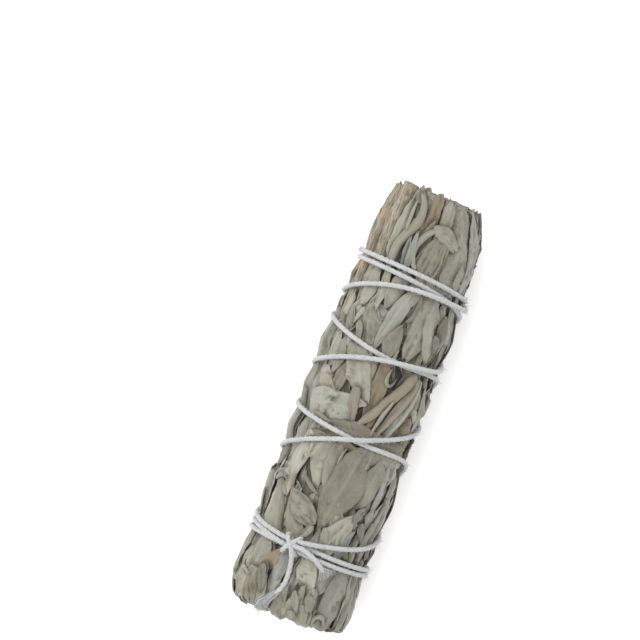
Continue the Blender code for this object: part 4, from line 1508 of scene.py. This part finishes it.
    def add_core(self, parts: MeshParts, lane: int) -> None:
        """Adds a sprig's packed inner leaves, lumpy, coloured with painted shade where they show in the gaps.

        Args:
            parts: the sprig's mesh.
            lane: the number of its lane, from 0.
        """
        low, high = self.lanes[lane]
        along = np.linspace(1.6, self.bundle.length - 1.0, 110)[:, None]
        share = np.linspace(0, 1, 6 + int((high - low) / 3.0))[None, :]
        along, angle = np.broadcast_arrays(along, low + 0.4 + (high - low - 0.8) * share)
        arc = np.radians(angle) * self.bundle.free
        lumps = self.crinkle.at(along * 0.45, arc * 0.7 + 11) * 0.35
        outer = self.bundle.radius(along, angle) - self.core_depth + lumps
        outer = np.minimum(outer, self.bed.read(self.bed.limit, along, arc) - 0.3)
        turned = self.bundle.shorter(arc)
        bare = np.any([stem.near(along, turned, self.bundle.free) for stem in self.stems], axis=0)
        outer = np.where(bare, outer - 0.7, outer)
        outer = np.minimum(outer, self.bundle.floor(angle, 0.6))
        top = self.bundle.placed(along, angle, outer)
        bottom = self.bundle.placed(along, angle, np.full_like(outer, self.inner))
        self.add_packed(parts, top, bottom, np.stack([along * 0.1, arc * 0.1], axis=-1))

    def add_packed(self, parts: MeshParts, top: np.ndarray, bottom: np.ndarray, leaf_map: np.ndarray) -> None:
        """Adds a closed shell of packed leaves, coloured with painted shade.

        Args:
            parts: the sprig's mesh.
            top: its outer points, in metres.
            bottom: its inner points.
            leaf_map: the leaf map at both.
        """
        tint = np.ones((*top.shape[:2], 4)) * np.array(self.core_tint_with_shade)
        parts.add_shell(top, bottom, leaf_map, tint)

    def add_end_strips(
        self, parts: MeshParts, low: float, high: float, insides: tuple, outside: float, count: int
    ) -> None:
        """Adds the leaf edges that show at both ends, wavy and packed round the stems.

        Args:
            parts: the sprig's mesh.
            low: the first angle, in degrees.
            high: the last.
            insides: the innermost radius at the cut end, and at the knotted end.
            outside: the outermost radius.
            count: strips at each end.
        """
        draw = self.draw
        for end, inside in zip((0.0, self.bundle.length), insides):
            sign = 1.0 if end == 0.0 else -1.0
            for k in range(count):
                radius = inside + (outside - inside) * (k + draw.uniform(0.2, 0.8)) / count
                span = min(math.degrees(draw.uniform(2.6, 7.5) / radius), high - low)
                first = draw.uniform(low, high - span)
                if any(stem.beside(first, first + span, radius, end) for stem in self.stems):
                    continue
                depth = np.linspace(draw.uniform(-0.1, 1.2), 5.0, 5)[:, None]
                w = np.linspace(-1, 1, 14)[None, :]
                angle = first + span * (w + 1) / 2
                waves = draw.uniform(0.12, 0.5) * np.sin(w * draw.uniform(3, 9) + draw.uniform(0, 6))
                ripple = self.crinkle.at(depth * 0.6 + k * 5.3, w * 4 + k) * 0.16
                centre = radius + waves + ripple + draw.uniform(-0.5, 0.5) * w**2
                torn = 0.35 * self.crinkle.at(k * 3.7, w * 3.0 + 5 * k)
                jag = torn * np.clip(1 - depth / 3, 0, 1)
                along = end + sign * (depth + jag)
                centre = np.minimum(centre, self.bundle.radius(np.maximum(along, 0.0), angle) - 0.85)
                thick = 0.19 * (1 - 0.3 * w**4)
                shells = [self.bundle.placed(along, angle, centre + t) for t in (thick, -thick)]
                if sign < 0:
                    shells = [shell[::-1] for shell in shells]
                tint = np.ones((*along.shape, 4))
                tint[..., 0] = draw.uniform(0.2, 0.7)
                tint[..., 1] = 0.5 + 0.5 * draw.uniform(-0.1, 0.35)
                tint[..., 2] = 0.4
                leaf_map = np.stack(np.broadcast_arrays(w * 0.3, depth * 0.1), axis=-1)
                parts.add_shell(shells[0], shells[1], leaf_map, tint)

    def build(self) -> list[bpy.types.Object]:
        """All the sprigs' pieces, each in place of its solid.

        Returns:
            The pieces.
        """
        laid = [self.lay_leaf(leaf) for leaf in self.seeded_leaves() if not self.hides_stem(leaf)]
        own = [self.lay_leaf(leaf) for leaf in self.own_leaves() if not self.hides_stem(leaf)]
        self.bed.settle()
        log.info("%d seeded leaves laid, and %d of the crown's own", len(laid), len(own))
        made = []
        for lane, (low, high) in enumerate(self.lanes):
            parts = MeshParts()
            self.add_core(parts, lane)
            for one in laid + own:
                if one["lane"] == lane:
                    self.add_leaf(parts, one)
            count = self.share(self.end_strips, low, high)
            self.add_end_strips(parts, low, high, (self.inner, self.inner), self.strip_outer, count)
            piece = parts.object(f"sage_leaves_{lane + 1}", self.material)
            made.append(finished(piece, "sage_leaf", f"sage_sprig_{lane + 1}"))
        parts = MeshParts()
        self.add_middle_core(parts)
        self.add_end_strips(parts, 0.0, 360.0, self.middle_inner, self.middle_outer, self.middle_strips)
        made.append(finished(parts.object("sage_leaves_7", self.material), "sage_leaf", "sage_sprig_7"))
        return made

    def add_middle_core(self, parts: MeshParts) -> None:
        """Adds the middle sprig's packed inner leaves.

        Args:
            parts: the sprig's mesh.
        """
        inner, middle = self.middle_core
        along = np.linspace(1.8, self.bundle.length - 1.6, 40)[:, None]
        along, angle = np.broadcast_arrays(along, np.linspace(0.0, 359.0, 30)[None, :])
        outer = middle + 0.25 * self.crinkle.at(along * 0.4, angle / 18.0)
        top = self.bundle.placed(along, angle, outer)
        bottom = self.bundle.placed(along, angle, np.full_like(outer, inner))
        self.add_packed(parts, top, bottom, np.zeros((*outer.shape, 2)))


@dataclass
class CottonString:
    """The one string, of twisted plies, with loose fibres, its knot and two frayed tails."""

    bundle: Bundle
    material: bpy.types.Material
    plies: int = 3
    ply_radius: float = 0.40
    lay_radius: float = 0.19
    pitch: float = 4.4
    step: float = 0.42
    sides: int = 7
    fuzz: float = 6.0e5  # loose fibres in each square metre of ply
    knot: tuple = (85.0, -17.5)
    loose: tuple = (7.0, 3.0)  # how much of each tail has come apart into fibres
    tails: tuple = (
        (
            (85.6, -3.9, 1.5),
            (87.4, -3.1, 1.2),
            (90.0, -2.7, 0.5),
            (93.2, -2.6, 0.45),
            (95.6, -3.2, 0.45),
            (98.0, -4.9, 0.45),
            (100.2, -6.0, 0.45),
            (101.9, -5.2, 0.5),
        ),
        (
            (85.0, -3.6, 1.6),
            (84.9, -1.6, 1.9),
            (85.9, 1.0, 1.9),
            (87.6, 3.4, 0.9),
            (89.3, 5.6, 0.5),
        ),
    )

    def tail_line(self, readings: Sequence[tuple]) -> np.ndarray:
        """A free end's centre line, smoothed.

        Args:
            readings: its places, as in tails.
        Returns:
            Its points, in metres.
        """
        along = np.array([r[0] for r in readings])
        angle = np.degrees([self.bundle.arc(r[1]) / self.bundle.free for r in readings])
        height = np.array([r[2] for r in readings])
        radius = self.bundle.free_radius(along) - self.bundle.press_depth + self.bundle.string.lift + height
        past = np.clip(along - (self.bundle.length - self.bundle.shoulder), 0.0, None)
        turn = np.radians(angle)
        knots = np.stack(
            [
                self.bundle.length / 2 - along,
                -radius * np.sin(turn),
                self.bundle.axis_height + (radius - 0.12 * past**1.5) * np.cos(turn),
            ],
            axis=-1,
        )
        return rounded_line(knots, 8 * len(knots), 14) * MM

    def parted(self, readings: Sequence[tuple], loose: float) -> tuple[np.ndarray, np.ndarray]:
        """A tail's line where it is still plied, and its last part where it has come loose.

        Args:
            readings: the tail's places.
            loose: how much of it is loose, in millimetres.
        Returns:
            Both lines.
        """
        line = self.tail_line(readings)
        left = np.linalg.norm(np.diff(line, axis=0), axis=1)[::-1].cumsum()[::-1] / MM
        cut = int(np.argmax(left < loose))
        return line[: cut + 3], line[cut:]

    def knot_loop(self, tilt: float) -> np.ndarray:
        """One of the knot's loops round the strands that it binds."""
        turn = np.linspace(0, math.tau, 40, endpoint=False)
        along = self.knot[0] + 2.0 * np.cos(turn)
        radius = self.bundle.free_radius(along) + 1.45 * np.sin(turn) + 0.3
        return self.bundle.placed(along, self.knot[1] + tilt * np.cos(turn), radius)

    def centre_lines(self) -> bpy.types.Object:
        """All the string's centre lines as one curve object."""
        curve = bpy.data.curves.new("string_line", "CURVE")
        curve.dimensions = "3D"
        winding = self.bundle.placed(*self.bundle.string_line(3.0))
        lines = [(winding, False)]
        lines += [(self.parted(*tail)[0], False) for tail in zip(self.tails, self.loose)]
        lines += [(self.knot_loop(tilt), True) for tilt in (6.0, -6.0)]
        for points, closed in lines:
            spline = curve.splines.new("POLY")
            spline.points.add(len(points) - 1)
            spline.use_cyclic_u = closed
            weighted = np.concatenate([points, np.ones((len(points), 1))], axis=1)
            spline.points.foreach_set("co", weighted.ravel())
        made = bpy.data.objects.new("string_line", curve)
        bpy.context.scene.collection.objects.link(made)
        return made

    def ply_tree(self) -> tuple[bpy.types.NodeTree, dict]:
        """The geometry tree that twists plies round the line and sets loose fibres on them.

        Returns:
            The tree, and the identifiers of its inputs by name.
        """
        tree = bpy.data.node_groups.new("plied string", "GeometryNodeTree")
        book = NodeBook(tree)
        tree.interface.new_socket("Geometry", in_out="INPUT", socket_type="NodeSocketGeometry")
        kinds = {
            "Plies": "NodeSocketInt", "Ply Radius": "NodeSocketFloat", "Lay Radius": "NodeSocketFloat",
            "Pitch": "NodeSocketFloat", "Step": "NodeSocketFloat", "Sides": "NodeSocketInt",
            "Fuzz": "NodeSocketFloat", "Fibre Length": "NodeSocketFloat",
            "Material": "NodeSocketMaterial",
        }
        names = {
            name: tree.interface.new_socket(name, in_out="INPUT", socket_type=kind).identifier
            for name, kind in kinds.items()
        }
        tree.interface.new_socket("Geometry", in_out="OUTPUT", socket_type="NodeSocketGeometry")
        given = book.node("NodeGroupInput").outputs
        line = book.node(
            "GeometryNodeResampleCurve",
            {"mode": "LENGTH"},
            {"Curve": given["Geometry"], "Length": given["Step"]},
        )
        twins = book.node(
            "GeometryNodeDuplicateElements",
            {"domain": "SPLINE"},
            {"Geometry": line.outputs[0], "Amount": given["Plies"]},
        )
        length = book.value(book.node("GeometryNodeSplineParameter"), "Length")
        index = book.value(twins, "Duplicate Index")
        turn = (length / given["Pitch"] + index / given["Plies"]) * math.tau
        normal = book.node("GeometryNodeInputNormal").outputs[0]
        tangent = book.node("GeometryNodeInputTangent").outputs[0]
        other = book.vector("CROSS_PRODUCT", {0: tangent, 1: normal})
        reach = Value(book, given["Lay Radius"])
        sides = [
            book.vector("SCALE", {0: way, "Scale": part * reach})
            for way, part in ((normal, turn.cosine()), (other, turn.sine()))
        ]
        offset = book.vector("ADD", {0: sides[0], 1: sides[1]})
        twisted = book.node("GeometryNodeSetPosition", inputs={"Geometry": twins.outputs[0], "Offset": offset})
        section = book.node(
            "GeometryNodeCurvePrimitiveCircle",
            inputs={"Resolution": given["Sides"], "Radius": given["Ply Radius"]},
        )
        plies = book.node(
            "GeometryNodeCurveToMesh",
            inputs={"Curve": twisted.outputs[0], "Profile Curve": section.outputs[0], "Fill Caps": True},
        )
        hair = book.node(
            "GeometryNodeCurveQuadraticBezier",
            inputs={
                "Resolution": 3,
                "Start": (0, 0, -0.1),
                "Middle": (0.35, 0.0, 0.32),
                "End": (1.0, 0.12, 0.20),
            },
        )
        hair_section = book.node("GeometryNodeCurvePrimitiveCircle", inputs={"Resolution": 3, "Radius": 0.02})
        hair_mesh = book.node(
            "GeometryNodeCurveToMesh",
            inputs={"Curve": hair.outputs[0], "Profile Curve": hair_section.outputs[0], "Fill Caps": True},
        )
        roots = book.node(
            "GeometryNodeDistributePointsOnFaces",
            inputs={"Mesh": plies.outputs[0], "Density": given["Fuzz"], "Seed": 4},
        )
        spin = book.node(
            "FunctionNodeRandomValue",
            {"data_type": "FLOAT_VECTOR"},
            {"Min": (-0.3, -0.3, 0.0), "Max": (0.3, 0.3, math.tau), "Seed": 2},
        )
        turned = book.node(
            "FunctionNodeRotateRotation",
            {"rotation_space": "LOCAL"},
            {"Rotation": roots.outputs["Rotation"], "Rotate By": spin.outputs[0]},
        )
        size = book.value(book.node("FunctionNodeRandomValue", {}, {2: 0.45, 3: 1.3, "Seed": 3}), 1)
        fuzz = book.node(
            "GeometryNodeInstanceOnPoints",
            inputs={
                "Points": roots.outputs["Points"],
                "Instance": hair_mesh.outputs[0],
                "Rotation": turned.outputs[0],
                "Scale": size * Value(book, given["Fibre Length"]),
            },
        )
        both = book.node("GeometryNodeJoinGeometry")
        for source in (plies, fuzz):
            tree.links.new(source.outputs[0], both.inputs[0])
        real = book.node("GeometryNodeRealizeInstances", inputs={0: both.outputs[0]})
        smooth = book.node("GeometryNodeSetShadeSmooth", inputs={0: real.outputs[0]})
        dressed = book.node(
            "GeometryNodeSetMaterial",
            inputs={"Geometry": smooth.outputs[0], "Material": given["Material"]},
        )
        book.node("NodeGroupOutput", inputs={0: dressed.outputs[0]})
        return tree, names

    def fray_points(self) -> MeshParts:
        """The brush of loose fibres at each tail's end."""
        parts = MeshParts()
        draw = np.random.default_rng(21)
        for readings, loose, spread, count in zip(self.tails, self.loose, (0.85, 1.10), (80, 90)):
            line = self.parted(readings, loose)[1]
            _, side, up = directions(line)
            for _ in range(count):
                reach = draw.uniform(0.55, 1.0)
                at = np.linspace(0, reach * (len(line) - 1), 9)
                bones = [between(way, at) for way in (line, side, up)]
                t = at[:, None] / (len(line) - 1)
                place = draw.normal(0.0, 0.42, 2)
                swing = 0.35 * np.sin(t * draw.uniform(3.0, 8.0) + draw.uniform(0.0, 6.0)) * t
                across = place[0] * (0.62 + spread * 2.0 * t**1.1) + swing
                height = np.clip(place[1] * (0.6 - 0.25 * t), -0.3, 0.6) + 0.12 * t
                path = bones[0] + MM * (across * bones[1] + height * bones[2])
                turn = np.linspace(0, math.tau, 5)[None, :, None]
                thick = MM * draw.uniform(0.05, 0.10) * (1 - 0.6 * t)
                ring = np.cos(turn) * bones[1][:, None] + np.sin(turn) * bones[2][:, None]
                grid = path[:, None, :] + thick[:, None] * ring
                parts.add_grid(grid, np.zeros((9, 5, 2)), np.ones((9, 5, 4)), True)
        return parts

    def build(self) -> bpy.types.Object:
        """The string as one mesh, in place of its solid."""
        line = self.centre_lines()
        tree, names = self.ply_tree()
        modifier = line.modifiers.new("plied string", "NODES")
        modifier.node_group = tree
        sizes = {
            "Plies": self.plies, "Ply Radius": self.ply_radius * MM, "Lay Radius": self.lay_radius * MM,
            "Pitch": self.pitch * MM, "Step": self.step * MM, "Sides": self.sides, "Fuzz": self.fuzz,
            "Fibre Length": 1.15 * MM, "Material": self.material,
        }
        for name, given in sizes.items():
            modifier[names[name]] = given
        depsgraph = bpy.context.evaluated_depsgraph_get()
        mesh = bpy.data.meshes.new_from_object(line.evaluated_get(depsgraph))
        bpy.data.objects.remove(line)
        frayed = self.fray_points().object("fray", self.material)
        weld_seam(frayed.data)
        made = bpy.data.objects.new("plied_string", mesh)
        bpy.context.scene.collection.objects.link(made)
        with bpy.context.temp_override(active_object=made, selected_editable_objects=[made, frayed]):
            bpy.ops.object.join()
        places = np.zeros(3 * len(made.data.vertices), np.float32)
        made.data.vertices.foreach_get("co", places)
        places[2::3] = np.maximum(places[2::3], 0.02 * MM)
        made.data.vertices.foreach_set("co", places)
        return finished(made, "cotton_string", "cotton_string")


@dataclass
class Studio:
    """A plain pale floor, soft light and the camera straight above, as in the photograph."""

    distance: float = 0.60
    lens: float = 147.4
    target: tuple = (0.0153, 0.01595)
    upward: tuple = (0.937, 0.349)
    focus_height: float = 0.0136
    floor_size: float = 3.0
    floor_drop: float = 0.0002
    room_light: float = 1.15
    lamps: tuple = (("key", (0.28, 0.55, 0.90), 11.0, 1.00), ("fill", (-0.3, -0.5, 0.9), 2.2, 0.9))

    def build_floor(self) -> None:
        """The floor."""
        low = (0.0, 0.0, -self.floor_drop)
        bpy.ops.mesh.primitive_grid_add(x_subdivisions=8, y_subdivisions=8, size=self.floor_size, location=low)
        floor = bpy.context.object
        floor.name = "floor"
        book = Surface("floor")
        floor.data.materials.append(book.finish(Base_Color=(0.98, 0.98, 0.98, 1.0), Roughness=0.9))
        floor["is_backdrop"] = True

    def build_light(self) -> None:
        """A bright room and two large soft lights."""
        world = bpy.data.worlds.new("room")
        world.use_nodes = True
        room = world.node_tree.nodes["Background"]
        room.inputs["Color"].default_value = (1.0, 1.0, 1.0, 1.0)
        room.inputs["Strength"].default_value = self.room_light
        bpy.context.scene.world = world
        for name, place, energy, size in self.lamps:
            lamp = bpy.data.lights.new(name, "AREA")
            lamp.energy = energy
            lamp.size = size
            made = bpy.data.objects.new(name, lamp)
            made.location = place
            aim = np.array(place) / np.linalg.norm(place)
            made.rotation_euler = (math.acos(aim[2]), 0.0, math.atan2(aim[1], aim[0]) + math.pi / 2)
            bpy.context.scene.collection.objects.link(made)
        bpy.context.scene.view_settings.view_transform = "Standard"

    def build_camera(self) -> None:
        """The camera, turned so that the stick leans as it does in the photograph."""
        lens = bpy.data.cameras.new("camera")
        lens.lens = self.lens
        lens.sensor_width = 36.0
        lens.clip_end = 20.0
        camera = bpy.data.objects.new("camera", lens)
        camera.location = (*self.target, self.focus_height + self.distance)
        camera.rotation_euler = (0.0, 0.0, -math.atan2(self.upward[0], self.upward[1]))
        bpy.context.scene.collection.objects.link(camera)
        bpy.context.scene.camera = camera


def stems() -> tuple[Stem, ...]:
    """The woody stems, on the same routes as their solids."""
    first = ((-0.4, -46, 9.9), (7, -46, 11.0), (16, -48, 11.0), (26, -52, 10.4), (58, -58, 9.2))
    second = ((0.6, -66, 10.0), (9, -66, 11.2), (19, -68, 11.3), (31, -72, 11.3), (52, -79, 9.0))
    return (
        Stem(1, 1.75, first, ((3.0, 3.0, 0.35),), 17.0),
        Stem(2, 1.45, second, ((12.0, 3.2, 1.0), (3.0, 2.0, 0.4), (27.0, 6.0, 0.8)), 33.0),
        Stem(3, 1.4, ((0.2, 14, 8.4), (30, 12, 8.8), (88, 10, 9.0))),
        Stem(4, 1.3, ((0.9, 84, 8.8), (40, 85, 9.0), (86, 82, 9.0))),
        Stem(5, 1.6, ((0.0, 138, 8.8), (40, 137, 9.0), (90, 139, 9.0))),
        Stem(6, 1.2, ((0.7, 192, 8.6), (40, 190, 8.8), (84, 191, 8.8))),
        Stem(7, 1.4, ((-0.2, 246, 8.8), (40, 247, 9.0), (88, 245, 9.0))),
        Stem(8, 1.8, ((0.3, 0, 0.6), (45, 90, 0.5), (92, 180, 0.6))),
    )


def write_sizes() -> None:
    """Puts the solids' box and the visual model's box side by side; the result is not kept."""
    boxes = {"cad": CAD_BOX, "visual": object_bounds()}
    plain = {name: [[float(x) for x in corner] for corner in box] for name, box in boxes.items()}


def main() -> None:
    """Builds the studio, then each sub-assembly of the stick."""
    logging.basicConfig(level=logging.INFO, format="%(message)s")
    bundle = Bundle()
    studio = Studio()
    studio.build_camera()
    studio.build_light()
    studio.build_floor()
    SageBundle(bundle, SageLeafFinish().material(), stems()).build()
    bark = WoodyStemFinish().material()
    for stem in stems():
        stem.build(bundle, bark)
    CottonString(bundle, CottonFinish().material()).build()
    write_sizes()


if __name__ == "__main__":
    main()
